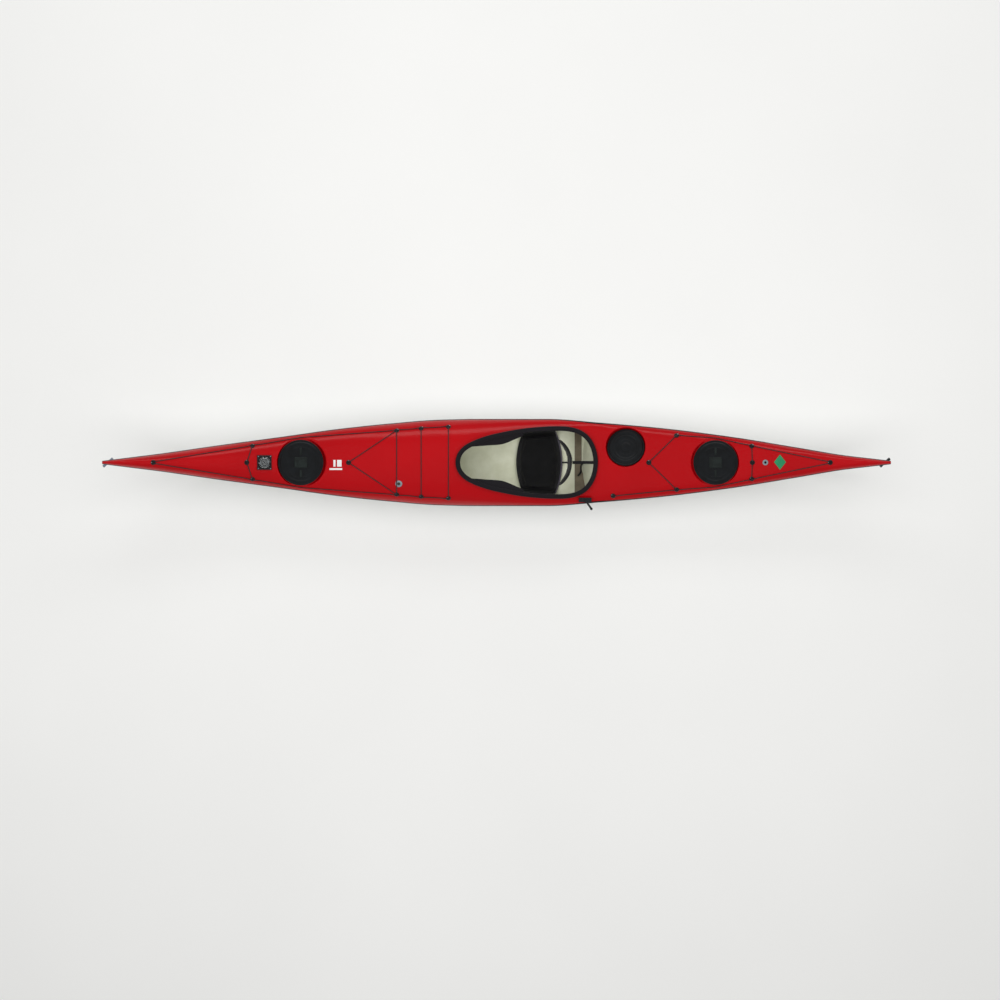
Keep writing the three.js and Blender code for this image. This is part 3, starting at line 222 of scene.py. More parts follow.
# A smooth curve through points, with square-root spacing, open or closed
def smoothPath(points, samples, closed=False):
    points = [Vector(point) for point in points]
    count = len(points)
    path = []
    for i in range(count if closed else count - 1):
        if closed:
            p0, p1, p2, p3 = (points[(i + k - 1) % count] for k in range(4))
        else:
            p1, p2 = points[i], points[i + 1]
            p0 = points[i - 1] if i > 0 else p1 * 2 - p2
            p3 = points[i + 2] if i + 2 < count else p2 * 2 - p1
        gaps = [max((b - a).length ** 0.5, 1e-6) for a, b in ((p0, p1), (p1, p2), (p2, p3))]
        leave = (p1 - p0) / gaps[0] - (p2 - p0) / (gaps[0] + gaps[1]) + (p2 - p1) / gaps[1]
        arrive = (p2 - p1) / gaps[1] - (p3 - p1) / (gaps[1] + gaps[2]) + (p3 - p2) / gaps[2]
        leave, arrive = leave * gaps[1], arrive * gaps[1]
        for k in range(samples):
            t = k / samples
            square, cube = t * t, t * t * t
            path.append(
                p1 * (2 * cube - 3 * square + 1) + p2 * (3 * square - 2 * cube)
                + leave * (cube - 2 * square + t) + arrive * (cube - square)
            )
    if not closed:
        path.append(points[-1])
    return path


def pathLength(path):
    return sum((b - a).length for a, b in zip(path, path[1:]))


# A closed path as this many points, evenly spaced
def evenLoop(path, count):
    closed = path + path[:1]
    step = pathLength(closed) / count
    points, along, target = [], 0.0, 0.0
    for a, b in zip(closed, closed[1:]):
        length = (b - a).length
        while len(points) < count and target <= along + length:
            points.append(a.lerp(b, (target - along) / length) if length else a.copy())
            target += step
        along += length
    return points


# A round tube along a path, with a UV map in metres along it and in turns round it
def tubeMesh(name, path, radius, sides=12):
    side = Vector((0, 0, 1))
    if abs((path[1] - path[0]).normalized().z) > 0.9:
        side = Vector((1, 0, 0))
    rows, along = [], [0.0]
    for i, point in enumerate(path):
        direction = (path[min(i + 1, len(path) - 1)] - path[max(i - 1, 0)]).normalized()
        side = (side - direction * side.dot(direction)).normalized()
        up = direction.cross(side)
        rows.append([
            point + side * radius * math.cos(2 * math.pi * j / sides)
            + up * radius * math.sin(2 * math.pi * j / sides)
            for j in range(sides)
        ])
        if i:
            along.append(along[-1] + (point - path[i - 1]).length)
    obj = gridMesh(name, rows, wrapColumns=True, capRows=True)
    layer = obj.data.uv_layers.new(name="cordMap")
    for polygon in obj.data.polygons:
        for loop in polygon.loop_indices:
            vertex = obj.data.loops[loop].vertex_index
            turn = (vertex % sides) / sides
            if turn == 0 and any(v % sides == sides - 1 for v in polygon.vertices):
                turn = 1.0
            layer.data[loop].uv = (along[vertex // sides], turn)
    return obj


# Camera straight above, as in the picture's upper view
cameraPlan = {"width": 6.59, "x": 0.023, "y": -0.247, "height": 4.0, "reach": 60.0}
bpy.ops.object.select_all(action="DESELECT")
bpy.ops.object.camera_add(
    location=(cameraPlan["x"], cameraPlan["y"], cameraPlan["height"]), rotation=(0, 0, 0)
)
camera = bpy.context.object
camera.data.type = "ORTHO"
camera.data.ortho_scale = cameraPlan["width"]
camera.data.clip_end = cameraPlan["reach"]
bpy.context.scene.camera = camera
print("camera made")


# Colours and materials
def hexColour(code):
    values = [int(code[i:i + 2], 16) / 255 for i in (1, 3, 5)]
    linear = [v / 12.92 if v <= 0.04045 else ((v + 0.055) / 1.055) ** 2.4 for v in values]
    return (*linear, 1.0)


# Adds a node: words set its properties, names and numbers its sockets, and links feed them
def addNode(tree, kind, settings=None, links=None):
    node = tree.nodes.new(kind)
    for key, value in (settings or {}).items():
        if isinstance(key, str) and hasattr(node, key):
            setattr(node, key, value)
        else:
            node.inputs[key].default_value = value
    for key, socket in (links or {}).items():
        tree.links.new(socket, node.inputs[key])
    return node


def newMaterial(name, **constants):
    material = bpy.data.materials.new(name)
    material.use_nodes = True
    tree = material.node_tree
    shader = tree.nodes["Principled BSDF"]
    for key, value in constants.items():
        shader.inputs[key.replace("_", " ")].default_value = value
    return material, tree, shader


# Feeds the shader's sockets, each from the output of another node
def feed(tree, shader, links):
    for key, socket in links.items():
        tree.links.new(socket, shader.inputs[key])


# A share between two ends that follows a noise of a real size, in metres
def cloud(tree, place, size, ends, band, detail):
    noise = addNode(tree, "ShaderNodeTexNoise", {"Scale": 1 / size, "Detail": detail}, {"Vector": place})
    spread = {"From Min": band[0], "From Max": band[1], "To Min": ends[0], "To Max": ends[1]}
    return addNode(tree, "ShaderNodeMapRange", spread, {"Value": noise.outputs["Fac"]}).outputs["Result"]


def cloudValue(tree, place, size, low, high, detail=4.0):
    return cloud(tree, place, size, (low, high), (0.3, 0.7), detail)


def mixedColour(tree, share, first, second):
    colours = {"data_type": "RGBA", 6: hexColour(first), 7: hexColour(second)}
    return addNode(tree, "ShaderNodeMix", colours, {0: share}).outputs[2]


def cloudColour(tree, place, size, first, second):
    return mixedColour(tree, cloud(tree, place, size, (0, 1), (0.35, 0.65), 4.0), first, second)


# Two sets of waves that cross, for a weave or a braid
def crossed(tree, waves, operation):
    first, second = (wave.outputs["Fac"] for wave in waves)
    return addNode(tree, "ShaderNodeMath", {"operation": operation}, {0: first, 1: second}).outputs[0]


# How many bands of a wave texture come to a metre, for bands of a real size
def waveScale(size):
    return math.pi / (10 * size)


def bumpFrom(tree, height, depth, strength=1.0):
    bump = addNode(
        tree, "ShaderNodeBump", {"Strength": strength, "Distance": depth}, {"Height": height}
    )
    return bump.outputs["Normal"]


# Polished gelcoat: sprayed polyester on a mould, glossy, with a faint peel and hairline rubs
def gelcoat(name, colour, deeper, gloss, shine=0.3, patch=0.6, rub=0.006, peel=0.014, peelDepth=0.00006):
    material, tree, shader = newMaterial(name, IOR=1.5, Specular_IOR_Level=shine)
    place = addNode(tree, "ShaderNodeTexCoord").outputs["Object"]
    stretched = addNode(tree, "ShaderNodeMapping", {"Scale": (0.15, 1, 1)}, {"Vector": place})
    rubs = cloudValue(tree, stretched.outputs["Vector"], rub, gloss - 0.03, gloss + 0.08, detail=6.0)
    peelNoise = addNode(tree, "ShaderNodeTexNoise", {"Scale": 1 / peel, "Detail": 1.0}, {"Vector": place})
    feed(tree, shader, {
        "Base Color": cloudColour(tree, place, patch, colour, deeper),
        "Roughness": rubs,
        "Normal": bumpFrom(tree, peelNoise.outputs["Fac"], peelDepth),
    })
    return material


redGelcoat = gelcoat("redGelcoat", "#B4050F", "#AC040D", 0.14, shine=0.2)
whiteGelcoat = gelcoat("whiteGelcoat", "#F4F5F4", "#EEF0EF", 0.17)
blackGelcoat = gelcoat("blackGelcoat", "#161318", "#120F13", 0.3)


# Bare glass laminate: woven roving wetted with resin, 5 mm tows, a little uneven and yellowed
def laminate(name, colour, shade, patch=0.09, tow=0.005, towDepth=0.0003):
    material, tree, shader = newMaterial(name, IOR=1.52, Roughness=0.42)
    place = addNode(tree, "ShaderNodeTexCoord").outputs["Object"]
    tint = (0.94, 0.94, 0.9, 1)
    weave = crossed(tree, [
        addNode(
            tree, "ShaderNodeTexWave",
            {"bands_direction": direction, "Scale": waveScale(tow), "Distortion": 1.5, "Detail": 1.0},
            {"Vector": place},
        )
        for direction in ("X", "Y")
    ], "MULTIPLY")
    base = cloudColour(tree, place, patch, colour, shade)
    tinted = addNode(
        tree, "ShaderNodeMix", {"data_type": "RGBA", "blend_type": "MULTIPLY", 7: tint}, {6: base, 0: weave}
    )
    feed(tree, shader, {"Base Color": tinted.outputs[2], "Normal": bumpFrom(tree, weave, towDepth)})
    return material


creamLaminate = laminate("creamLaminate", "#EEF0DA", "#E0E2C8")


# Moulded rubber: matt, finely pebbled, greyer where it has bloomed
def rubber(name, colour, bloom, patch=0.05, smear=0.03, pebble=0.0016, pebbleDepth=0.00015):
    material, tree, shader = newMaterial(name, IOR=1.52, Specular_IOR_Level=0.3)
    place = addNode(tree, "ShaderNodeTexCoord").outputs["Object"]
    pebbles = addNode(tree, "ShaderNodeTexVoronoi", {"Scale": 1 / pebble}, {"Vector": place})
    feed(tree, shader, {
        "Base Color": cloudColour(tree, place, patch, colour, bloom),
        "Roughness": cloudValue(tree, place, smear, 0.3, 0.42),
        "Normal": bumpFrom(tree, pebbles.outputs["Distance"], pebbleDepth, 0.5),
    })
    return material


blackRubber = rubber("blackRubber", "#0A0C0E", "#101316")
# Lighter rubber for the covers' raised boss and bars: a painted highlight on their tops
markHighlightRubber = rubber("markHighlightRubber", "#1D2422", "#131716")


# Moulded nylon or ABS: an even satin with spark-etched grain, drawn at 1 mm so that it shows
def mouldedPlastic(
    name, colour, lighter, roughness, patch=0.04, smear=0.012, grain=0.001, grainDepth=0.00008
):
    material, tree, shader = newMaterial(name, IOR=1.5)
    place = addNode(tree, "ShaderNodeTexCoord").outputs["Object"]
    etched = addNode(tree, "ShaderNodeTexNoise", {"Scale": 1 / grain, "Detail": 2.0}, {"Vector": place})
    feed(tree, shader, {
        "Base Color": cloudColour(tree, place, patch, colour, lighter),
        "Roughness": cloudValue(tree, place, smear, roughness - 0.06, roughness + 0.08),
        "Normal": bumpFrom(tree, etched.outputs["Fac"], grainDepth, 0.6),
    })
    return material


blackPlastic = mouldedPlastic("blackNylon", "#0E0F11", "#151619", 0.3)
seatPlastic = mouldedPlastic("blackSeatShell", "#0F0F11", "#151517", 0.5)
greyPlastic = mouldedPlastic("greyNylon", "#7C868E", "#8A949B", 0.4)
pipingPlastic = mouldedPlastic("greyPiping", "#4B4652", "#57525E", 0.4)
bladePlastic = mouldedPlastic("charcoalPolyethylene", "#292A2E", "#333439", 0.45)
toggleRubber = mouldedPlastic("blueGreyToggle", "#6D7887", "#7A8593", 0.45)


# Braided cord: two sets of strands that cross round a core, 5 mm to a full crossing
def braidedCord(name, colour, fleck, pitch=0.005, strands=4, strandDepth=0.0005):
    material, tree, shader = newMaterial(name, IOR=1.5, Roughness=0.72)
    shader.inputs["Sheen Weight"].default_value = 0.2
    place = addNode(tree, "ShaderNodeUVMap", {"uv_map": "cordMap"}).outputs["UV"]
    turn = 2 * waveScale(1)
    sets = []
    for way in (1, -1):
        mapped = addNode(
            tree, "ShaderNodeMapping", {"Scale": (way * turn / pitch, turn * strands, 1)}, {"Vector": place}
        )
        sets.append(addNode(
            tree, "ShaderNodeTexWave", {"bands_direction": "DIAGONAL", "Scale": 1.0},
            {"Vector": mapped.outputs["Vector"]},
        ))
    crossing = crossed(tree, sets, "MAXIMUM")
    feed(tree, shader, {
        "Base Color": mixedColour(tree, crossing, colour, fleck),
        "Normal": bumpFrom(tree, crossing, strandDepth),
    })
    return material


blackCord = braidedCord("blackBraid", "#0C0C0E", "#1C1C20")
paleCord = braidedCord("paleBraid", "#8E949B", "#C3C8CC")


# Nylon over foam: a plain weave of 1.2 mm threads with a soft sheen
def paddedCloth(name, colour, lighter, patch=0.05, thread=0.0012, threadDepth=0.00025):
    material, tree, shader = newMaterial(name, IOR=1.5, Roughness=0.85)
    shader.inputs["Sheen Weight"].default_value = 0.15
    place = addNode(tree, "ShaderNodeTexCoord").outputs["Object"]
    threads = crossed(tree, [
        addNode(
            tree, "ShaderNodeTexWave", {"bands_direction": direction, "Scale": waveScale(thread)},
            {"Vector": place},
        )
        for direction in ("X", "Y")
    ], "ADD")
    feed(tree, shader, {
        "Base Color": cloudColour(tree, place, patch, colour, lighter),
        "Normal": bumpFrom(tree, threads, threadDepth),
    })
    return material


blackCloth = paddedCloth("blackPaddedNylon", "#0C0C0E", "#121214")
webbing = paddedCloth("blackWebbing", "#0D0D10", "#151619", thread=0.0016)


# Stainless steel screws: turned and brushed, a little clouded
def brushedSteel(name, colour, darker, patch=0.01, scratch=0.003):
    material, tree, shader = newMaterial(name, Metallic=1.0)
    place = addNode(tree, "ShaderNodeTexCoord").outputs["Object"]
    feed(tree, shader, {
        "Base Color": cloudColour(tree, place, patch, colour, darker),
        "Roughness": cloudValue(tree, place, scratch, 0.2, 0.34),
    })
    return material


# Clear acrylic: blown, bright and almost free of tint
def blownAcrylic(name, colour, smear=0.01):
    material, tree, shader = newMaterial(
        name, Base_Color=hexColour(colour), IOR=1.49, Transmission_Weight=1.0
    )
    place = addNode(tree, "ShaderNodeTexCoord").outputs["Object"]
    feed(tree, shader, {"Roughness": cloudValue(tree, place, smear, 0.02, 0.06)})
    return material


stainless = brushedSteel("stainlessSteel", "#D5D7D8", "#BFC2C4")
clearAcrylic = blownAcrylic("clearAcrylic", "#F4F7F8")
print("materials made")

# End toggles: a cord loop through a hole in each end, with a moulded bar at its foot
endToggles = {
    "cordRadius": 0.0025,
    "holeRadius": 0.0046,
    "drop": 0.107,
    "barLength": 0.086,
    "barRadius": 0.0095,
    "bore": 0.0062,
    "yaw": 40,
    "edge": 0.0008,
    "route": [
        (0.0032, -0.113), (0.0032, -0.095), (0.0044, -0.080), (0.0072, -0.055), (0.0106, -0.030),
        (0.0129, -0.014), (0.0126, -0.0084), (0.0108, -0.0044), (0.0076, -0.0012), (0.0038, 0.0008),
        (0, 0.0014),
    ],
    "profile": [
        (0, -0.5), (0.5, -0.497), (0.84, -0.48), (1, -0.44), (0.96, -0.36), (0.88, -0.25),
        (0.86, -0.17), (1.02, -0.125), (1.22, -0.085), (1.26, 0),
    ],
}


def makeToggle(end, cordFinish, barFinish):
    hole = Vector(joints[f"{end}_toggle_swing"]["pos_m"])
    legs = [hole + Vector((0, y, z)) for y, z in endToggles["route"]]
    legs += [hole + Vector((0, -y, z)) for y, z in reversed(endToggles["route"][:-1])]
    path = smoothPath(legs, 5)
    cord = tubeMesh(f"{end}ToggleCord", path, endToggles["cordRadius"])
    half = [
        (radius * endToggles["barRadius"], along * endToggles["barLength"])
        for radius, along in endToggles["profile"]
    ]
    outline = smoothPath([(radius, 0, along) for radius, along in half], 4)
    outline = [(max(0.0, point.x), point.z) for point in outline]
    outline += [(radius, -along) for radius, along in reversed(outline[:-1])]
    bar = spunPiece(f"{end}Toggle", outline, steps=48)
    yaw = math.radians(endToggles["yaw"])
    bar.rotation_euler = (math.pi / 2, 0, yaw + math.pi / 2)
    bar.location = hole - Vector((0, 0, endToggles["drop"]))
    middle = tuple(bar.location)
    settle(bar)
    cutRound(bar, endToggles["bore"], endToggles["barLength"], middle)
    bevelled(bar, endToggles["edge"], angle=50)
    finishPiece(bar, f"{end}_toggle", [barFinish], [f"{end}_toggle"])
    finishPiece(cord, f"{end}_toggle", [cordFinish], [f"{end}_toggle_cord"], angle=60)


makeToggle("bow", paleCord, toggleRubber)
makeToggle("stern", blackCord, blackPlastic)
print("end toggles made")

# A plain pale floor and soft studio light
studio = {
    "floor": 60.0,
    "floorColours": ("#F4F4F2", "#F1F1EF"),
    "world": 0.36,
    "aim": (0, 0, 0.2),
    "lights": [
        {"name": "overhead", "at": (0.0, 0.0, 7.0), "size": (14.0, 10.0), "power": 560, "mirrored": False},
        {"name": "starboardKey", "at": (0.0, 7.0, 4.2), "size": (10.0, 1.6), "power": 120, "mirrored": True},
    ],
}
floorFinish, floorTree, floorShader = newMaterial("studioFloor", Roughness=0.9)
floorPlace = addNode(floorTree, "ShaderNodeTexCoord").outputs["Object"]
feed(floorTree, floorShader, {
    "Base Color": cloudColour(floorTree, floorPlace, 2.5, *studio["floorColours"]),
})
bpy.ops.object.select_all(action="DESELECT")
bpy.ops.mesh.primitive_plane_add(size=studio["floor"], location=(0, 0, -0.0005))
studioFloor = bpy.context.object
studioFloor.name = "studioFloor"
studioFloor.data.materials.append(floorFinish)
for light in studio["lights"]:
    aim = (Vector(studio["aim"]) - Vector(light["at"])).to_track_quat("-Z", "Y")
    bpy.ops.object.select_all(action="DESELECT")
    bpy.ops.object.light_add(type="AREA", location=light["at"], rotation=aim.to_euler())
    lamp = bpy.context.object
    lamp.name = light["name"]
    lamp.data.shape = "RECTANGLE"
    lamp.data.size, lamp.data.size_y = light["size"]
    lamp.data.energy = light["power"]
    lamp.visible_glossy = light["mirrored"]
world = bpy.data.worlds.new("studio")
world.use_nodes = True
world.node_tree.nodes["Background"].inputs["Color"].default_value = hexColour("#FFFFFF")
world.node_tree.nodes["Background"].inputs["Strength"].default_value = studio["world"]
bpy.context.scene.world = world
bpy.context.scene.view_settings.view_transform = "Standard"
print("floor and lights made")


# The boat's lines, in metres: each pair is a share of the half length, then a share of a size
boat = {
    "halfLength": 2.6,
    "shellHalfLength": 2.597,
    "halfBeam": 0.284,
    "endHeight": 0.447,
    "crownHeight": 0.160,
    "keelFlat": 0.025,
    "stemFlat": 0.002,
    "skin": 0.004,
    "seamGap": 0.00015,
    "stations": 300,
    "endCrowding": 0.25,
    "hullGirth": 26,
    "deckGirth": 44,
    "tipRound": 0.0024,
    "halfBeamShares": [
        (-1, 0.028), (-0.93, 0.108), (-0.85, 0.2), (-0.7, 0.395), (-0.55, 0.58), (-0.4, 0.77),
        (-0.27, 0.895), (-0.15, 0.98), (-0.05, 1), (0.13, 1), (0.26, 0.916), (0.42, 0.787),
        (0.6, 0.58), (0.76, 0.342), (0.88, 0.16), (0.95, 0.084), (1, 0.031),
    ],
    "seamShares": [
        (-1, 1), (-0.9, 0.832), (-0.8, 0.718), (-0.7, 0.631), (-0.5, 0.528), (-0.35, 0.483),
        (-0.2, 0.454), (-0.03, 0.4206), (0.12, 0.4206), (0.25, 0.4385), (0.4, 0.474), (0.55, 0.526),
        (0.65, 0.568), (0.75, 0.638), (0.85, 0.745), (0.93, 0.868), (1, 1.004),
    ],
    "keelShares": [
        (-1, 0.94), (-0.975, 0.87), (-0.94, 0.745), (-0.89, 0.526), (-0.835, 0.338), (-0.78, 0.201),
        (-0.73, 0.132), (-0.67, 0.094), (-0.6, 0.069), (-0.48, 0.036), (-0.33, 0.018), (-0.173, 0),
        (0.085, 0), (0.2, 0.026), (0.345, 0.0515), (0.494, 0.087), (0.644, 0.145), (0.76, 0.219),
        (0.838, 0.257), (0.871, 0.282), (0.8935, 0.34), (0.911, 0.418), (0.934, 0.548), (0.95, 0.664),
        (0.98, 0.832), (1, 0.94),
    ],
    "crownShares": [
        (-1, 0.15), (-0.925, 0.344), (-0.85, 0.45), (-0.7, 0.6), (-0.6, 0.575), (-0.5, 0.6),
        (-0.365, 0.725), (-0.29, 0.85), (-0.215, 0.931), (-0.105, 0.9875), (-0.028, 0.875),
        (0.046, 0.7125), (0.12, 0.58), (0.165, 0.52), (0.214, 0.381), (0.246, 0.306), (0.258, 0.306),
        (0.292, 0.375), (0.42, 0.45), (0.57, 0.3875), (0.72, 0.406), (0.79, 0.331), (0.87, 0.294),
        (0.94, 0.25), (1, 0.15),
    ],
    "keelFlatShares": [(-1, 0), (-0.75, 0), (-0.173, 1), (0.085, 1), (0.75, 0), (1, 0)],
    "bottomPowers": [(-1, 1.15), (-0.7, 1.25), (-0.3, 1.7), (0.3, 1.7), (0.75, 1.2), (1, 1.15)],
    "sidePowers": [(-1, 1.4), (-0.7, 1.6), (-0.3, 2.6), (0.3, 2.6), (0.75, 1.7), (1, 1.4)],
    "deckPowers": [
        (-1, 2), (-0.7, 1.75), (-0.1, 1.75), (0.05, 2.1), (0.17, 2.6), (0.7, 2.6), (1, 2),
    ],
}


# A smooth curve through pairs that never overshoots them
def fairCurve(pairs):
    slopes = [(b[1] - a[1]) / (b[0] - a[0]) for a, b in zip(pairs, pairs[1:])]
    tangents = []
    for i in range(len(pairs)):
        before, after = slopes[max(0, i - 1)], slopes[min(i, len(slopes) - 1)]
        tangents.append(0 if before * after <= 0 else 2 * before * after / (before + after))

    def valueAt(x):
        if x <= pairs[0][0]:
            return pairs[0][1]
        if x >= pairs[-1][0]:
            return pairs[-1][1]
        i = next(j for j in range(1, len(pairs)) if x <= pairs[j][0]) - 1
        span = pairs[i + 1][0] - pairs[i][0]
        t = (x - pairs[i][0]) / span
        rise = t * t * (3 - 2 * t)
        leave, arrive = t * (1 - t) * (1 - t), t * t * (t - 1)
        return (
            pairs[i][1] * (1 - rise) + pairs[i + 1][1] * rise
            + span * (tangents[i] * leave + tangents[i + 1] * arrive)
        )

    return valueAt


def alongBoat(shares, size=1.0):
    curve = fairCurve(boat[shares])
    return lambda x: size * curve(x / boat["halfLength"])


halfBeamAt = alongBoat("halfBeamShares", boat["halfBeam"])
seamAt = alongBoat("seamShares", boat["endHeight"])
keelAt = alongBoat("keelShares", boat["endHeight"])
crownAt = alongBoat("crownShares", boat["crownHeight"])
keelFlatAt = alongBoat("keelFlatShares", boat["keelFlat"])
bottomPower = alongBoat("bottomPowers")
sidePower = alongBoat("sidePowers")
deckPower = alongBoat("deckPowers")


def deckHeight(x, y):
    share = min(1.0, abs(y) / halfBeamAt(x))
    return seamAt(x) + crownAt(x) * math.sqrt(max(0.0, 1 - share ** deckPower(x)))


def flatHalfAt(x):
    return min(boat["stemFlat"] + keelFlatAt(x), halfBeamAt(x) / 2)


# Half the boat's width at a height, outside or a wall's thickness further in
def widthAt(x, z, inset=0.0):
    half = halfBeamAt(x) - inset
    if z < seamAt(x):
        share = min(1.0, max(0.0, (seamAt(x) - z) / (seamAt(x) - keelAt(x) - inset)))
        return flatHalfAt(x) + (half - flatHalfAt(x)) * (1 - share ** sidePower(x)) ** (1 / bottomPower(x))
    share = min(1.0, (z - seamAt(x)) / (crownAt(x) - inset))
    return half * (1 - share * share) ** (1 / deckPower(x))


def deckNormal(x, y, step=0.003):
    slopeX = (deckHeight(x + step, y) - deckHeight(x - step, y)) / (2 * step)
    slopeY = (deckHeight(x, y + step) - deckHeight(x, y - step)) / (2 * step)
    return Vector((-slopeX, -slopeY, 1)).normalized()


# A place whose Z axis is the given direction and whose X axis lies nearest to the boat's
def placeAt(position, up):
    y = up.cross(Vector((1, 0, 0))).normalized()
    matrix = Matrix((y.cross(up), y, up)).transposed().to_4x4()
    matrix.translation = position
    return matrix


def onDeck(x, y, rise=0.0):
    return Vector((x, y, deckHeight(x, y))) + deckNormal(x, y) * rise


def deckPlace(x, y, rise=0.0):
    return placeAt(onDeck(x, y, rise), deckNormal(x, y))


# Points of a hull section from the starboard seam under the keel to the port seam
def hullSection(x):
    flatHalf, top = flatHalfAt(x), seamAt(x) - boat["seamGap"]
    side = []
    for j in range(boat["hullGirth"] + 1):
        angle = math.pi / 2 * j / boat["hullGirth"]
        y = flatHalf + (halfBeamAt(x) - flatHalf) * max(0.0, math.cos(angle)) ** (2 / bottomPower(x))
        side.append((y, top - (top - keelAt(x)) * math.sin(angle) ** (2 / sidePower(x))))
    return side + [(-y, z) for y, z in reversed(side)]


# The deck as a flat sheet: across runs from -1 at the port seam to 1 at the starboard seam
def deckAcross(x, across):
    angle = (1 - abs(across)) * math.pi / 2
    return math.copysign(halfBeamAt(x) * math.cos(angle) ** (2 / deckPower(x)), across) if across else 0.0


def acrossDeck(x, y):
    share = min(1.0, abs(y) / halfBeamAt(x)) ** (deckPower(x) / 2)
    return math.copysign(1 - math.acos(share) * 2 / math.pi, y)


stations = []
for i in range(boat["stations"] + 1):
    t = -1 + 2 * i / boat["stations"]
    stations.append(boat["shellHalfLength"] * t * (1 + boat["endCrowding"] * (1 - t * t)))


# Rows that round off an end: each is the last row drawn in about its middle
def tipRows(row, outward, steps=4, drawnIn=0.3):
    middle = sum(row, Vector()) / len(row)
    rows = []
    for k in range(1, steps + 1):
        angle = math.pi / 2 * k / steps
        keep = 1 - drawnIn * (1 - math.cos(angle))
        shift = Vector((outward * boat["tipRound"] * math.sin(angle), 0, 0))
        rows.append([middle + (point - middle) * keep + shift for point in row])
    return rows


# Hull: white gelcoat outside, bare laminate inside, with the skeg slot and the toggle holes
skeg = {
    "pivotX": 0.643 * boat["halfLength"],
    "slot": 0.008,
    "front": -0.050,
    "rear": 0.268,
    "cutFrom": -0.050,
    "cutTo": 0.110,
}


def makeHull():
    rows = [[Vector((x, y, z)) for y, z in hullSection(x)] for x in stations]
    rows = list(reversed(tipRows(rows[0], -1))) + rows + tipRows(rows[-1], 1)
    hull = gridMesh("hull", rows, capRows=True)
    mergeAndFaceOut(hull, outward=False)
    faceUp(hull, -1)
    hull.data.materials.append(whiteGelcoat)
    hull.data.materials.append(creamLaminate)
    walled(hull, boat["skin"], innerMaterial=1, rimMaterial=1)
    for end in ("bow", "stern"):
        hole = joints[f"{end}_toggle_swing"]["pos_m"]
        cutRound(hull, endToggles["holeRadius"], boat["halfBeam"], hole, (math.pi / 2, 0, 0))
    bpy.ops.object.select_all(action="DESELECT")
    middle, height = (skeg["front"] + skeg["rear"]) / 2, (skeg["cutFrom"] + skeg["cutTo"]) / 2
    bpy.ops.mesh.primitive_cube_add(size=1, location=(skeg["pivotX"] + middle, 0, height))
    slot = bpy.context.object
    slot.scale = (skeg["rear"] - skeg["front"], skeg["slot"], skeg["cutTo"] - skeg["cutFrom"])
    cutWith(hull, slot)
    return finishPiece(hull, "hull", [whiteGelcoat, creamLaminate], ["hull_shell"], 40)


hull = makeHull()
print("hull made:", len(hull.data.polygons), "faces")

# The cockpit coaming's plan, which the deck's opening and the day hatch follow
coamingPlan = {
    "length": 0.943,
    "halfWidth": 0.240,
    "centre": 0.0763 * boat["halfLength"],
    "rim": 0.031,
    "rimThickness": 0.005,
    "neck": 0.005,
    "neckDrop": 0.014,
    "rise": 0.0214,
    "points": 340,
    "smoothing": 26,  # passes that round the outline, each point half way to its neighbours' middle
    "shares": [
        (-0.5, 0), (-0.488, 0.222), (-0.465, 0.362), (-0.428, 0.487), (-0.375, 0.595), (-0.28, 0.732),
        (-0.172, 0.833), (-0.029, 0.933), (0.13, 0.99), (0.22, 1), (0.306, 0.98), (0.38, 0.892),
        (0.435, 0.736), (0.474, 0.496), (0.494, 0.24), (0.5, 0),
    ],
    "topShares": [
        (-0.5, 1), (-0.289, 0.879), (-0.186, 0.828), (-0.083, 0.793), (0.02, 0.758), (0.123, 0.739),
        (0.226, 0.72), (0.329, 0.704), (0.5, 0.71),
    ],
}
coamingFront = coamingPlan["centre"] - coamingPlan["length"] / 2
coamingRear = coamingPlan["centre"] + coamingPlan["length"] / 2

# Hatches: what their recesses, rims and covers share, with y as a share of the half beam and the
# tilt in degrees
hatches = {
    "bow": {"x": -0.496 * boat["halfLength"], "radius": 0.150, "rim": 0.027, "sink": 0.045},
    "day": {"x": coamingRear + 0.1803, "radius": 0.124, "rim": 0.015, "sink": 0.044, "y": 0.43, "tilt": 14},
    "stern": {"x": 0.5555 * boat["halfLength"], "radius": 0.147, "rim": 0.020, "sink": 0.019},
}
recess = {
    "gap": 0.005,
    "lip": 0.005,
    "flare": 0.017,
    "foot": 0.004,
    "rimWidth": 0.024,
    "steps": 96,
    "profile": [
        (0, 1), (0.12, 0.995), (0.26, 0.965), (0.4, 0.88), (0.5, 0.72), (0.55, 0.5), (0.6, 0.26),
        (0.68, 0.1), (0.82, 0.02), (1, 0),
    ],
}
for hatch in hatches.values():
    y, reach = hatch.get("y", 0) * halfBeamAt(hatch["x"]), hatch["radius"]
    slope = (deckHeight(hatch["x"] + reach, y) - deckHeight(hatch["x"] - reach, y)) / (2 * reach)
    hatch["up"] = Vector((-slope, math.tan(math.radians(hatch.get("tilt", 0))), 1)).normalized()
    hatch["flareWay"] = 0 if "y" in hatch else -math.copysign(1, hatch["x"])
    hatch["place"] = placeAt(onDeck(hatch["x"], y) - hatch["up"] * hatch["sink"], hatch["up"])


# Where a line along a hatch's axis, at a radius and turn, meets the deck: its height over the
# floor, come nearer to by most of the gap that is left at each try
def heightOverFloor(hatch, radius, turn, tries=12, step=0.8):
    start = hatch["place"] @ onCircle(radius, turn)
    height = 0.0
    for _ in range(tries):
        point = start + hatch["up"] * height
        height += (deckHeight(point.x, point.y) - point.z) * step
    return height


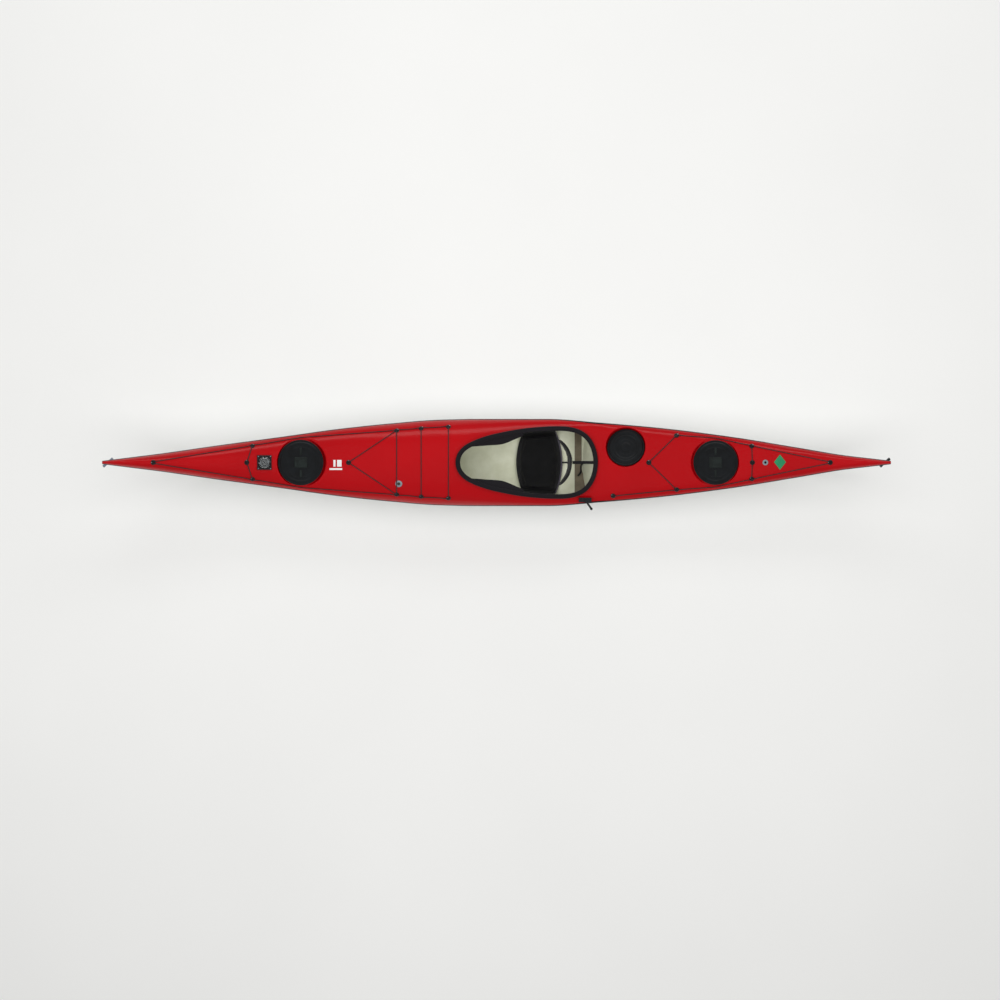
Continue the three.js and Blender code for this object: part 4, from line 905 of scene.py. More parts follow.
# Rings of a recess from the deck down to the opening, wider towards the cockpit
def recessRings(hatch):
    inner = hatch["radius"] + recess["gap"] - recess["foot"]
    opening = hatch["radius"] - recess["rimWidth"]
    turns = [2 * math.pi * j / recess["steps"] for j in range(recess["steps"])]
    outers = [
        hatch["radius"] + recess["gap"] + recess["lip"]
        + recess["flare"] * max(0, hatch["flareWay"] * math.cos(turn))
        for turn in turns
    ]
    heights = [heightOverFloor(hatch, outer, turn) for turn, outer in zip(turns, outers)]
    rings = [
        [
            hatch["place"] @ onCircle(outer + (inner - outer) * inward, turn, height * up)
            for turn, height, outer in zip(turns, heights, outers)
        ]
        for inward, up in recess["profile"]
    ]
    return rings + [[hatch["place"] @ onCircle(opening, turn) for turn in turns]]


coamingAcross = fairCurve(coamingPlan["shares"])
coamingRise = fairCurve(coamingPlan["topShares"])
coamingPeak = deckHeight(coamingFront, 0) + coamingPlan["rise"]


def coamingTop(x):
    return coamingPeak * coamingRise((x - coamingPlan["centre"]) / coamingPlan["length"])


# The coaming's outline seen from above, with the outward direction at each point
def coamingOutline(samples=12):
    side = [
        (coamingPlan["centre"] + along * coamingPlan["length"], across * coamingPlan["halfWidth"], 0)
        for along, across in coamingPlan["shares"][1:-1]
    ]
    corners = [(coamingFront, 0, 0), *side, (coamingRear, 0, 0)]
    corners += [(x, -y, z) for x, y, z in reversed(side)]
    path = evenLoop(smoothPath(corners, samples, closed=True), coamingPlan["points"])
    for _ in range(coamingPlan["smoothing"]):
        path = [
            point * 0.5 + (path[i - 1] + path[(i + 1) % len(path)]) * 0.25 for i, point in enumerate(path)
        ]
    outline = []
    for i, point in enumerate(path):
        tangent = (path[(i + 1) % len(path)] - path[i - 1]).normalized()
        outline.append((point, Vector((-tangent.y, tangent.x, 0))))
    return outline


coamingPath = coamingOutline()


def coamingLoop(inset):
    return [point - outward * inset for point, outward in coamingPath]


# Deck: one sheet with its openings left out, and the walls and floors of the hatch recesses
deckSheet = {
    "flatWidth": 0.3,  # half the width of the flat sheet that the deck is meshed on
    "clear": 0.004,
    "neckFit": 0.0003,
    "holeSteps": 32,
}
fittingHoles = {
    "pump_outlet": {"x": -0.2477 * boat["halfLength"], "y": -0.54, "radius": 0.0145},
    "stern_socket": {"x": 0.6815 * boat["halfLength"], "y": 0, "radius": 0.0115},
}


def insideLoop(x, y, loop):
    inside = False
    for a, b in zip(loop, loop[1:] + loop[:1]):
        if (a.y > y) != (b.y > y) and x < (b.x - a.x) * (y - a.y) / (b.y - a.y) + a.x:
            inside = not inside
    return inside


def deckRow(x):
    row = []
    for j in range(boat["deckGirth"] + 1):
        y = deckAcross(x, -1 + 2 * j / boat["deckGirth"])
        row.append(Vector((x, y, deckHeight(x, y) + boat["seamGap"])))
    return row


# Closed loops of points on the deck, each round an opening
def deckLoops(rings):
    loops = [ring[0] for ring in rings]
    neck = coamingPlan["rim"] - coamingPlan["neck"] - deckSheet["neckFit"]
    loops.append([onDeck(point.x, point.y) for point in coamingLoop(neck)])
    for hole in fittingHoles.values():
        place = deckPlace(hole["x"], hole["y"] * halfBeamAt(hole["x"]))
        steps = deckSheet["holeSteps"]
        loop = [place @ onCircle(hole["radius"], 2 * math.pi * j / steps) for j in range(steps)]
        loops.append([onDeck(point.x, point.y) for point in loop])
    return loops


def makeDeck():
    rings = [recessRings(hatch) for hatch in hatches.values()]
    loops = deckLoops(rings)
    boxes = []
    for loop in loops:
        xs, ys = [point.x for point in loop], [point.y for point in loop]
        boxes.append((min(xs), max(xs), min(ys), max(ys)))

    def blocked(x, y, margin):
        for loop, (lowX, highX, lowY, highY) in zip(loops, boxes):
            if lowX - margin < x < highX + margin and lowY - margin < y < highY + margin:
                if insideLoop(x, y, loop):
                    return True
                if margin and min((p.x - x) ** 2 + (p.y - y) ** 2 for p in loop) < margin * margin:
                    return True
        return False

    points, sheet, edges = [], [], []
    for loop in loops:
        first = len(points)
        points.extend(loop)
        sheet.extend(Vector((p.x, acrossDeck(p.x, p.y) * deckSheet["flatWidth"])) for p in loop)
        edges.extend((first + j, first + (j + 1) % len(loop)) for j in range(len(loop)))
    for x in stations:
        for j, point in enumerate(deckRow(x)):
            if not blocked(point.x, point.y, deckSheet["clear"]):
                points.append(point)
                across = -1 + 2 * j / boat["deckGirth"]
                sheet.append(Vector((x, across * deckSheet["flatWidth"])))
    made = delaunay_2d_cdt(sheet, edges, [], 0, 1e-7, True)
    where = [points[sources[0]] if sources else None for sources in made[3]]
    faces = []
    for face in made[2]:
        corners = [where[i] for i in face]
        if None in corners:
            continue
        middle = sum(corners, Vector()) / len(corners)
        if not blocked(middle.x, middle.y, 0):
            faces.append(tuple(face))
    deck = newObject("deck", [point or Vector() for point in where], faces)
    parts = [gridMesh("recess", ring, wrapColumns=True) for ring in rings]
    for x, outward in ((stations[0], -1), (stations[-1], 1)):
        rows = [deckRow(x)]
        rows += tipRows(rows[0], outward)
        parts += [gridMesh("tip", rows), newObject("cap", rows[-1], [tuple(range(len(rows[-1])))])]
    joinInto(deck, parts)
    mergeAndFaceOut(deck, 0.00003)
    faceUp(deck)
    deck.data.materials.append(redGelcoat)
    deck.data.materials.append(creamLaminate)
    walled(deck, boat["skin"], innerMaterial=1)
    return finishPiece(deck, "hull", [redGelcoat, creamLaminate], ["deck_shell"], 40)


deck = makeDeck()
print("deck made:", len(deck.data.polygons), "faces")


# Seam band: rubbed black gelcoat over the joint of hull and deck, round both tips
seamBand = {
    "height": 0.026,
    "thickness": 0.0024,
    "fit": 0.0006,
    "rows": 10,
    "tipSteps": 12,
    "edgePower": 6,
    "innerEvery": 3,
}


def bandRing(x, outward, side):
    outer, inner = [], []
    for k in range(seamBand["rows"] + 1):
        along = -1 + 2 * k / seamBand["rows"]
        z = seamAt(x) + seamBand["height"] / 2 * along
        base = Vector((x, widthAt(x, z) * side, z))
        raised = seamBand["fit"] + seamBand["thickness"] * (1 - abs(along) ** seamBand["edgePower"]) ** 0.5
        outer.append(base + outward * raised)
        inner.append(base)
    return outer + inner[::-seamBand["innerEvery"]]


# Back along one side, round the stern's tip, forward along the other and round the bow's
def makeBand(step=0.003):
    rings = []
    for side, along, tip in ((1, stations, stations[-1]), (-1, stations[::-1], stations[0])):
        for x in along:
            slope = (halfBeamAt(x + step) - halfBeamAt(x - step)) / (2 * step)
            rings.append(bandRing(x, Vector((-slope, side, 0)).normalized(), side))
        for k in range(1, seamBand["tipSteps"]):
            outward = onCircle(1, side * math.pi / 2 - math.pi * k / seamBand["tipSteps"])
            rings.append(bandRing(tip, outward, outward.y))
    band = gridMesh("seamBand", rings, wrapRows=True, wrapColumns=True)
    mergeAndFaceOut(band)
    return finishPiece(band, "hull", [blackGelcoat], ["seam_band"])


makeBand()
print("seam band made")

# Cockpit coaming: rolled rim, neck wall and thigh braces in one moulding
coamingSection = [
    (0.0260, None), (0.0260, -0.0120), (0.0252, -0.0078), (0.0232, -0.0062), (0.0120, -0.0060),
    (0.0034, -0.0066), (0.0010, -0.0062), (0.0001, -0.0046), (0.0002, -0.0026), (0.0012, -0.0008),
    (0.0034, 0.0), (0.0100, 0.0004), (0.0200, 0.0002), (0.0272, -0.0004), (0.0298, -0.0016),
    (0.0309, -0.0040), (0.0310, -0.0080), (0.0310, None),
]
thighBraces = {
    "inNeck": 0.003,
    "drop": 0.012,
    "droop": 0.014,
    "thickness": 0.005,
    "reach": 0.060,
    "edge": 0.0018,
    "rows": 48,
    "columns": 10,
    "shares": [
        (-0.4, 0), (-0.385, 0.06), (-0.34, 0.3), (-0.28, 0.55), (-0.172, 0.81), (-0.14, 0.76),
        (-0.09, 0.58), (-0.045, 0.39), (-0.024, 0.3),
    ],
}


def openingWidth(x):
    share = coamingAcross((x - coamingPlan["centre"]) / coamingPlan["length"])
    return share * coamingPlan["halfWidth"] - coamingPlan["rim"]


# A brace starts inside the neck, reaches inwards by its own curve and droops as it does
def makeBrace(side):
    reachAt = fairCurve(thighBraces["shares"])
    first, last = thighBraces["shares"][0][0], thighBraces["shares"][-1][0]
    grid = []
    for i in range(thighBraces["rows"] + 1):
        along = first + (last - first) * math.sin(math.pi / 2 * i / thighBraces["rows"])
        x = coamingPlan["centre"] + along * coamingPlan["length"]
        neck = openingWidth(x) + thighBraces["inNeck"]
        reach = reachAt(along) * thighBraces["reach"] + thighBraces["inNeck"]
        row = []
        for j in range(thighBraces["columns"] + 1):
            inward = reach * j / thighBraces["columns"]
            droop = (max(0.0, inward - thighBraces["inNeck"]) / thighBraces["reach"]) ** 1.5
            z = coamingTop(x) - thighBraces["drop"] - thighBraces["droop"] * droop
            row.append(Vector((x, side * (neck - inward), z)))
        grid.append(row)
    brace = gridMesh("brace", grid)
    faceUp(brace)
    walled(brace, thighBraces["thickness"])
    bevelled(brace, thighBraces["edge"], segments=3, angle=60)
    return brace


def makeCoaming():
    rows = []
    for point, outward in coamingPath:
        row = []
        for inset, rise in coamingSection:
            place = point - outward * inset
            z = coamingTop(place.x)
            if rise is None:
                neck = point - outward * coamingPlan["rim"]
                z = min(
                    z - 2 * coamingPlan["rimThickness"],
                    deckHeight(neck.x, neck.y) - coamingPlan["neckDrop"],
                )
            else:
                z += rise
            row.append(Vector((place.x, place.y, z)))
        rows.append(row)
    coaming = gridMesh("cockpitCoaming", rows, wrapRows=True, wrapColumns=True)
    mergeAndFaceOut(coaming)
    joinInto(coaming, [makeBrace(side) for side in (1, -1)])
    return finishPiece(coaming, "hull", [blackGelcoat], ["cockpit_coaming"], 50)


makeCoaming()
print("coaming made")

# Hatches: moulded rims on the recess floors and stretched rubber covers
hatchRim = {"neck": 0.005, "bead": 0.006, "flange": 0.003, "fillet": 0.003, "fit": 0.0003, "edge": 0.0009}
hatchCover = {
    "skirt": 0.005,
    "thickness": 0.005,
    "rib": 0.003,
    "lipOuter": 0.0015,
    "lipInner": 0.001,
    "steps": 160,
}
coverProfiles = {  # each pair is a share of the radius and a share of the rib's height
    "edge": [
        (1.0, -1.7), (1.0, -0.6), (0.994, -0.2), (0.982, 0.0), (0.965, 0.08), (0.945, 0.05), (0.93, -0.35),
        (0.915, -0.4), (0.9, 0.0), (0.885, 0.55), (0.87, 0.9), (0.855, 1.0),
    ],
    "rings": [
        (0.72, 1.0), (0.705, 0.85), (0.695, 0.55), (0.685, 0.5), (0.675, 0.8), (0.66, 0.95), (0.61, 0.95),
        (0.595, 0.8), (0.58, 0.3), (0.565, 0.02), (0.55, 0.0), (0.43, 0.0), (0.42, 0.25), (0.405, 0.35),
        (0.39, 0.25), (0.38, 0.0), (0.27, 0.0), (0.255, 0.1), (0.235, 0.75), (0.22, 0.95), (0.2, 1.0),
        (0.06, 1.0), (0.05, 0.75), (0, 0.75),
    ],
    "bars": [
        (0.82, 1.0), (0.805, 0.85), (0.79, 0.3), (0.775, 0.05), (0.76, 0.0), (0.69, 0.0), (0.68, 0.3),
        (0.665, 0.45), (0.65, 0.3), (0.64, 0.0), (0, 0.0),
    ],
}
coverMarks = {
    "boss": (0.084, 0.070, 0.0080),
    "bossInset": (0.046, 0.034, 0.0110),
    "bar": (0.015, 0.048, 0.0080),
    "barAt": 0.073,
    "edge": 0.0034,
}


def makeHatch(name, hatch, marks):
    radius, rise, fit = hatch["radius"], hatch["rim"], hatchRim["fit"]
    opening = radius - recess["rimWidth"]
    neck, bead = opening + hatchRim["neck"], radius - hatchCover["skirt"] - fit
    rim = spunPiece(f"{name}HatchRim", [
        (opening, fit), (bead, fit), (bead, hatchRim["flange"]),
        (neck + hatchRim["fillet"], hatchRim["flange"]), (neck, hatchRim["flange"] + hatchRim["fillet"]),
        (neck, rise - hatchRim["bead"]), (bead, rise - hatchRim["bead"]), (bead, rise), (opening, rise),
    ])
    bevelled(rim, hatchRim["edge"])
    rim.matrix_world = hatch["place"]
    finishPiece(rim, "hull", [blackPlastic], [f"hatch_rim_{name}"])
    under, lip, inside = rise + fit, hatchRim["flange"] + fit, bead + fit
    top = under + hatchCover["thickness"]
    outline = [
        (radius * share, top + hatchCover["rib"] * height)
        for share, height in coverProfiles["edge"] + coverProfiles["bars" if marks else "rings"]
    ]
    profile = outline[::-1] + [
        (radius, lip + hatchCover["lipOuter"]), (radius - hatchCover["lipOuter"], lip),
        (inside + hatchCover["lipInner"], lip), (inside, lip + hatchCover["lipInner"]),
        (inside, under), (0, under),
    ]
    cover = spunPiece(f"{name}HatchCover", profile, hatchCover["steps"])
    if marks:
        solids = [
            roundedBox("boss", coverMarks["boss"], (0, 0, top), coverMarks["edge"]),
            roundedBox("bossInset", coverMarks["bossInset"], (0, 0, top), coverMarks["edge"]),
        ]
        for side in (1, -1):
            centre = (0, side * coverMarks["barAt"], top)
            solids.append(roundedBox("bar", coverMarks["bar"], centre, coverMarks["edge"]))
        cover.data.materials.append(blackRubber)
        # The boss and bars take the lighter rubber, a painted highlight on the raised marks
        for solid in solids:
            solid.data.materials.append(markHighlightRubber)
        joinInto(cover, solids)
    cover.matrix_world = hatch["place"]
    return finishPiece(
        cover, f"{name}_hatch_cover", [blackRubber], [f"hatch_cover_{name}"], 30
    )


for name, hatch in hatches.items():
    makeHatch(name, hatch, name != "day")
print("hatches made")

# Bulkheads: laminate panels across the inside, which end 1 mm from the middle plane at the ridge
bulkheads = {
    "thickness": 0.006,
    "girth": 40,
    "fit": 0.0002,
    "ridge": 0.001,
    "places": {
        "front": {"x": -0.396 * boat["halfLength"], "lean": 0},
        "day": {"x": coamingRear - 0.1098, "lean": 30},
        "stern": {"x": 1.1102, "lean": 0},
    },
}


def insideWidth(x, z):
    return widthAt(x, z, boat["skin"] + bulkheads["fit"])


# One face of a bulkhead: a section of the inside along a leaning plane, its ends found step by step
def bulkheadFace(plan, shift, tries=30, step=0.7):
    lean, wall = math.radians(plan["lean"]), boat["skin"] + bulkheads["fit"]

    def planeAt(z):
        return plan["x"] + z * math.tan(lean) + shift / math.cos(lean)

    low = high = boat["endHeight"] / 2
    for _ in range(tries):
        low += (keelAt(planeAt(low)) + wall - low) * step
        high += (deckHeight(planeAt(high), 0) - wall - high) * step
    right = []
    for j in range(bulkheads["girth"] + 1):
        z = low + (high - low) * (1 - math.cos(math.pi * j / bulkheads["girth"])) / 2
        right.append(Vector((planeAt(z), insideWidth(planeAt(z), z), z)))
    right[0].y = max(right[0].y, bulkheads["ridge"])
    right[-1].y = bulkheads["ridge"]
    return right + [Vector((p.x, -p.y, p.z)) for p in reversed(right)]


def makeBulkhead(name, plan):
    faces = [bulkheadFace(plan, side * bulkheads["thickness"]) for side in (-0.5, 0.5)]
    panel = gridMesh(f"{name}Bulkhead", faces, wrapColumns=True, capRows=True)
    mergeAndFaceOut(panel)
    return finishPiece(panel, "hull", [creamLaminate], [f"bulkhead_{name}"])


for name, plan in bulkheads["places"].items():
    makeBulkhead(name, plan)
print("bulkheads made")

# Seat: a moulded pan hung from the coaming, with its pad, and a piped rear edge
seat = {
    "front": 0.130,
    "cornerBack": 0.038,
    "rear": 0.428,
    "rearCorner": 0.041,
    "thickness": 0.005,
    "floor": 0.030,
    "sideRise": 0.012,
    "edge": 0.0018,
    "rows": 36,
    "columns": 72,
    "heights": [(0, 0), (0.3, 0.01), (0.62, 0.05), (0.86, 0.16), (0.95, 0.42), (0.985, 0.72), (1, 1)],
    "fit": 0.0003,
    "piping": 0.0055,
    "pipingReach": 78,
}
seatPad = {
    "inset": 0.055,
    "reach": 0.86,
    "lift": 0.0012,
    "thickness": 0.014,
    "edge": 0.007,
    "voxel": 0.004,
    "evening": 5,
    "pressure": 4.0,
    "frames": 20,
    "cap": 0.006,
    "steps": 24,
    "crown": 8,
}
seatHeight = fairCurve(seat["heights"])


def seatPoint(along, across):
    front = seat["front"] + seat["cornerBack"] * across * across
    rear = seat["rear"] - seat["rearCorner"] * across * across
    x = front + (rear - front) * along
    width = openingWidth(x) - seat["fit"] - seat["thickness"]
    top = deckHeight(x, width) + seat["sideRise"] - coamingPlan["neckDrop"]
    rise = seatHeight(abs(across))
    return Vector((x, across * width, seat["floor"] + (top - seat["floor"]) * rise))


def makeSeatPan():
    rows = []
    for i in range(seat["rows"] + 1):
        row = []
        for j in range(seat["columns"] + 1):
            turn = -math.pi / 2 + math.pi * j / seat["columns"]
            row.append(seatPoint(i / seat["rows"], math.sin(turn)))
        rows.append(row)
    pan = gridMesh("seatPan", rows)
    faceUp(pan)
    walled(pan, seat["thickness"] - 0.0004)
    bevelled(pan, seat["edge"], segments=3, angle=60)
    turns = range(-seat["pipingReach"], seat["pipingReach"] + 1, 4)
    rim = [seatPoint(1, math.sin(math.radians(turn))) for turn in turns]
    route = smoothPath([point + Vector((0.001, 0, -0.001)) for point in rim], 2)
    piping = tubeMesh("piping", route, seat["piping"])
    piping.data.materials.append(pipingPlastic)
    pan.data.materials.append(seatPlastic)
    joinInto(pan, [piping])
    return finishPiece(pan, "hull", [seatPlastic], ["seat_pan"], 45)


makeSeatPan()


# Foam under cloth: the shape is remeshed, blown up a little as cloth and kept near its start
def puffedUp(obj, plan):
    remesh = obj.modifiers.new("voxels", "REMESH")
    remesh.mode = "VOXEL"
    remesh.voxel_size = plan["voxel"]
    evened = obj.modifiers.new("evened", "SMOOTH")
    evened.iterations = plan["evening"]
    applyModifiers(obj)
    start = [vertex.co.copy() for vertex in obj.data.vertices]
    cloth = obj.modifiers.new("cloth", "CLOTH")
    cloth.settings.use_pressure = True
    cloth.settings.uniform_pressure_force = plan["pressure"]
    cloth.settings.effector_weights.gravity = 0
    for number in range(1, plan["frames"] + 1):
        bpy.context.scene.frame_set(number)
    applyModifiers(obj)
    bpy.context.scene.frame_set(1)
    for vertex, before in zip(obj.data.vertices, start):
        move = vertex.co - before
        if move.length > plan["cap"]:
            vertex.co = before + move.normalized() * plan["cap"]
    smooth = obj.modifiers.new("smooth", "SUBSURF")
    smooth.levels = smooth.render_levels = 1
    applyModifiers(obj)
    return obj


# The pad's upper face crowns between its edges; level is 1 there and 0 on the under face
def padPoint(u, v, level):
    crown = (1 - abs(u) ** seatPad["crown"]) * (1 - abs(v) ** seatPad["crown"])
    thickness = seatPad["edge"] + (seatPad["thickness"] - seatPad["edge"]) * crown
    place = seatPoint(0.5 + (0.5 - seatPad["inset"]) * u, seatPad["reach"] * v)
    return place + Vector((0, 0, seatPad["lift"] + level * thickness))


def makeSeatPad():
    steps = [2 * k / seatPad["steps"] - 1 for k in range(seatPad["steps"] + 1)]
    top, under = ([[padPoint(u, v, level) for v in steps] for u in steps] for level in (1, 0))
    pad = closedSheet("seatPad", top, under)
    mergeAndFaceOut(pad)
    puffedUp(pad, seatPad)
    finishPiece(pad, "hull", [blackCloth], ["seat_pad"], 60)
    return pad


makeSeatPad()
print("seat made")

# Backband: a padded crescent on side straps, held by a strap from the coaming's rear
backband = {
    "chord": 0.310,
    "sagitta": 0.078,
    "rear": 0.503,
    "pad": 0.014,
    "top": 0.236,
    "foot": 0.112,
    "endDrop": 0.034,
    "endRise": 0.022,
    "lean": 0.024,
    "steps": 48,
    "girth": 24,
    "corner": 0.6,
    "tip": 0.2,
    "puffRoom": 0.002,
    "tabFront": 0.372,
    "tabReach": 0.96,
    "tabGap": 0.001,
    "tabStart": (0.030, 0.016),
    "tabHeight": 0.034,
    "tabThickness": 0.0035,
    "tabEdge": 0.0008,
    "strapWidth": 0.020,
    "strapThickness": 0.0022,
    "strapSag": 0.004,
    "strapEdge": 0.0006,
    "footStrap": 0.012,
    "voxel": 0.0040,
    "evening": 6,
    "pressure": 4.0,
    "frames": 20,
    "cap": 0.004,
}
bandRadius = (backband["chord"] ** 2 / 4 + backband["sagitta"] ** 2) / (2 * backband["sagitta"])
bandHalfAngle = math.asin(backband["chord"] / 2 / bandRadius)
bandSlope = backband["lean"] / (backband["top"] - backband["foot"])


# The band leans: its foot is forward of its top
def bandPoint(turn, depth, z):
    radius = bandRadius - depth
    x = backband["rear"] - bandRadius + radius * math.cos(turn) - bandSlope * (backband["top"] - z)
    return Vector((x, radius * math.sin(turn), z))


# A section of the band is an oval with squared corners, thinner and lower towards the ends
def bandSection(share):
    turn = bandHalfAngle * share
    end = (2 * bandRadius * math.sin(turn) / backband["chord"]) ** 2
    top = backband["top"] - backband["endDrop"] * end
    foot = backband["foot"] + backband["endRise"] * end
    taper = (1 - abs(share) ** 10) ** 0.5 * (1 - backband["tip"]) + backband["tip"]
    deep = (backband["pad"] / 2 - backband["puffRoom"]) * taper
    tall = (top - foot) / 2 - backband["puffRoom"]

    def squared(value):
        return math.copysign(abs(value) ** backband["corner"], value)

    section = []
    for k in range(backband["girth"]):
        angle = 2 * math.pi * k / backband["girth"]
        depth = backband["pad"] / 2 - squared(math.cos(angle)) * deep
        section.append(bandPoint(turn, depth, (top + foot) / 2 + squared(math.sin(angle)) * tall))
    return section


# A flat band of webbing along a route, with a width across it
def ribbon(name, route, across, lanes=4):
    shares = [k / lanes - 0.5 for k in range(lanes + 1)]
    return gridMesh(name, [[point + across * share for share in shares] for point in route])


def makeTab(side, middle):
    end = bandPoint(bandHalfAngle, backband["pad"] / 2, middle)
    panWidth = openingWidth(backband["tabFront"]) - seat["thickness"] - seat["fit"]
    reach = backband["tabReach"] * panWidth - backband["tabGap"]
    back, inward = backband["tabStart"]
    route = smoothPath([
        (end.x + back, side * (end.y - inward), middle), (end.x, side * end.y, middle),
        ((end.x + backband["tabFront"]) / 2, side * (end.y + reach) / 2, middle),
        (backband["tabFront"], side * reach, middle),
    ], 8)
    tab = ribbon("tab", route, Vector((0, 0, backband["tabHeight"])))
    walled(tab, backband["tabThickness"], 0)
    bevelled(tab, backband["tabEdge"], angle=60)
    return tab


def makeBackband():
    sections = [
        bandSection(-1 + 2 * i / backband["steps"]) for i in range(backband["steps"] + 1)
    ]
    band = gridMesh("backbandPad", sections, wrapColumns=True, capRows=True)
    mergeAndFaceOut(band)
    puffedUp(band, backband)
    finishPiece(band, "backband", [blackCloth], ["backband"], 60)
    middle = (backband["top"] + backband["foot"] - backband["endDrop"] + backband["endRise"]) / 2
    tabs = joinInto(makeTab(1, middle), [makeTab(-1, middle)])
    tabs.name = "backbandTabs"
    finishPiece(tabs, "backband", [webbing])


# A route from one point to another, bowed half a wave to one side
def bowed(start, end, bow, steps):
    return [
        start.lerp(end, k / steps) + bow * math.sin(math.pi * k / steps) for k in range(steps + 1)
    ]


def makeStrap():
    front = Vector((
        backband["rear"] + 0.0005 - bandSlope * backband["strapWidth"], 0,
        backband["top"] - backband["strapWidth"],
    ))
    rearX = coamingRear - coamingPlan["rim"]
    rear = Vector((rearX - 0.0006, 0, coamingTop(rearX) - 2 * coamingPlan["rimThickness"]))
    route = bowed(front, rear, Vector((0, 0, -backband["strapSag"])), 32)
    strap = ribbon("backbandStrap", route, Vector((0, backband["strapWidth"], 0)))
    faceUp(strap)
    walled(strap, backband["strapThickness"])
    bevelled(strap, backband["strapEdge"], angle=60)
    finishPiece(strap, None, [webbing], ["backband_strap"])
    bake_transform(strap)


# A short strap from the seat's rear edge keeps the band's foot down
def makeFootStrap():
    seatEnd = seatPoint(1, 0) + Vector((0.001, 0, -0.002))
    bandFoot = bandPoint(0, backband["pad"], backband["foot"]) + Vector((0.002, 0, 0.004))
    route = bowed(seatEnd, bandFoot, Vector((backband["strapSag"], 0, 0)), 16)
    strap = ribbon("backbandFootStrap", route, Vector((0, backband["footStrap"], 0)))
    walled(strap, backband["strapThickness"], 0)
    mergeAndFaceOut(strap)
    bevelled(strap, backband["strapEdge"], angle=60)
    finishPiece(strap, None, [webbing])
    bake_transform(strap)


makeBackband()
makeStrap()
makeFootStrap()
print("backband made")

# Deck fittings: nylon discs with a dished top and an arch over the line, seated on the deck
fitting = {
    "profile": [
        (0, 0.0012), (0.0050, 0.0013), (0.0070, 0.0019), (0.0082, 0.0034), (0.0094, 0.0040),
        (0.0122, 0.0039), (0.0148, 0.0030), (0.0166, 0.0014), (0.0170, -0.0002), (0.0170, -0.0032),
        (0, -0.0032),
    ],
    "archRadius": 0.0019,
    "arch": [(-0.0104, 0.0016), (-0.0092, 0.0090), (0, 0.0137), (0.0092, 0.0090), (0.0104, 0.0016)],
    "screw": [(0, 0.0034), (0.0030, 0.0034), (0.0030, 0.0044), (0.0022, 0.0050), (0, 0.0052)],
    "screwAt": 0.0115,
    "lift": 0.0003,
    "beforeCoaming": 0.0441,
    "behindHatch": 0.0294,
}
dayHatchRear = hatches["day"]["x"] + hatches["day"]["radius"]
fittingShares = {
    "bow_end": (-0.87, 0),
    "fore_centre": (-0.633, 0),
    "fore_side_1": (-0.6185, 0.78),
    "fore_ridge": (-0.375, 0),
    "fore_side_2": (-0.253, 0.815),
    "fore_side_3": (-0.191, 0.825),
    "fore_side_4": ((coamingFront - fitting["beforeCoaming"]) / boat["halfLength"], 0.838),
    "aft_port_1": (0.2955, -0.868),
    "aft_ridge": ((dayHatchRear + fitting["behindHatch"]) / boat["halfLength"], 0),
    "aft_side_2": (0.4565, 0.836),
    "aft_side_3": (0.647, 0.742),
    "aft_centre": (0.6485, 0),
    "stern_end": (0.846, 0),
}
fittings = {}
for name, (along, across) in fittingShares.items():
    x = along * boat["halfLength"]
    sides = {"port": -1, "starboard": 1} if "side" in name else {"side": 1}
    for word, side in sides.items():
        fittings[name.replace("side", word)] = Vector((x, side * across * halfBeamAt(x)))


# The arch stands across the boat at the ends, along it on the ridge and askew at the sides
def archTurn(name, spot):
    if name in ("bow_end", "stern_end"):
        return math.pi / 2
    if spot.y == 0:
        return 0.0
    return -math.copysign(math.pi / 4, spot.y)


for name, spot in fittings.items():
    disc = spunPiece(f"fitting_{name}_ring", fitting["profile"], steps=32)
    turn = archTurn(name, spot)
    arch = [(x * math.cos(turn), x * math.sin(turn), z) for x, z in fitting["arch"]]
    disc.data.materials.append(blackPlastic)
    bar = tubeMesh("arch", smoothPath(arch, 5), fitting["archRadius"], 10)
    bar.data.materials.append(blackPlastic)
    screw = spunPiece("screw", fitting["screw"], 24)
    screw.data.materials.append(stainless)
    screw.location = onCircle(fitting["screwAt"], turn + math.pi / 2)
    settle(screw)
    joinInto(disc, [bar, screw])
    settle(disc, deckPlace(spot.x, spot.y, fitting["lift"]))
    finishPiece(disc, "hull", [blackPlastic], [f"fitting_{name}"])
print("fittings made:", len(fittings))

# Deck lines: taut cords that lie on the deck, pass under the arches and end in a fitting's dish
line = {
    "radius": 0.0028,
    "rest": 0.0031,
    "over": 0.0087,
    "overFlange": 0.0086,
    "end": 0.0030,
    "endReach": 0.0052,
    "endSide": 0.0034,
    "step": 0.009,
    "corner": 0.016,
    "besideHatch": 0.0134,
    "archReach": (0.012, 0.050),
    "flangeReach": (0.027, 0.055),
    "endRise": (0.018, 0.045),
    "endDive": 0.016,
    "endLower": 0.0012,
}
pumpSpot = Vector((fittingHoles["pump_outlet"]["x"], 0))
pumpSpot.y = fittingHoles["pump_outlet"]["y"] * halfBeamAt(pumpSpot.x)


def smoothStep(value, low, high):
    t = min(1.0, max(0.0, (value - low) / (high - low)))
    return t * t * (3 - 2 * t)


# Plan points of a line through stops, with its corners rounded
def linePlan(stops):
    plan = [stops[0]]
    for before, corner, after in zip(stops, stops[1:], stops[2:]):
        reach = min(line["corner"], (before - corner).length / 3, (after - corner).length / 3)
        start = corner + (before - corner).normalized() * reach
        end = corner + (after - corner).normalized() * reach
        for t in (0, 0.25, 0.5, 0.75, 1):
            plan.append(start * (1 - t) ** 2 + corner * 2 * t * (1 - t) + end * t * t)
    plan.append(stops[-1])
    path = []
    for a, b in zip(plan, plan[1:]):
        count = max(1, math.ceil((b - a).length / line["step"]))
        path += [a.lerp(b, k / count) for k in range(count)]
    return path + [plan[-1]]


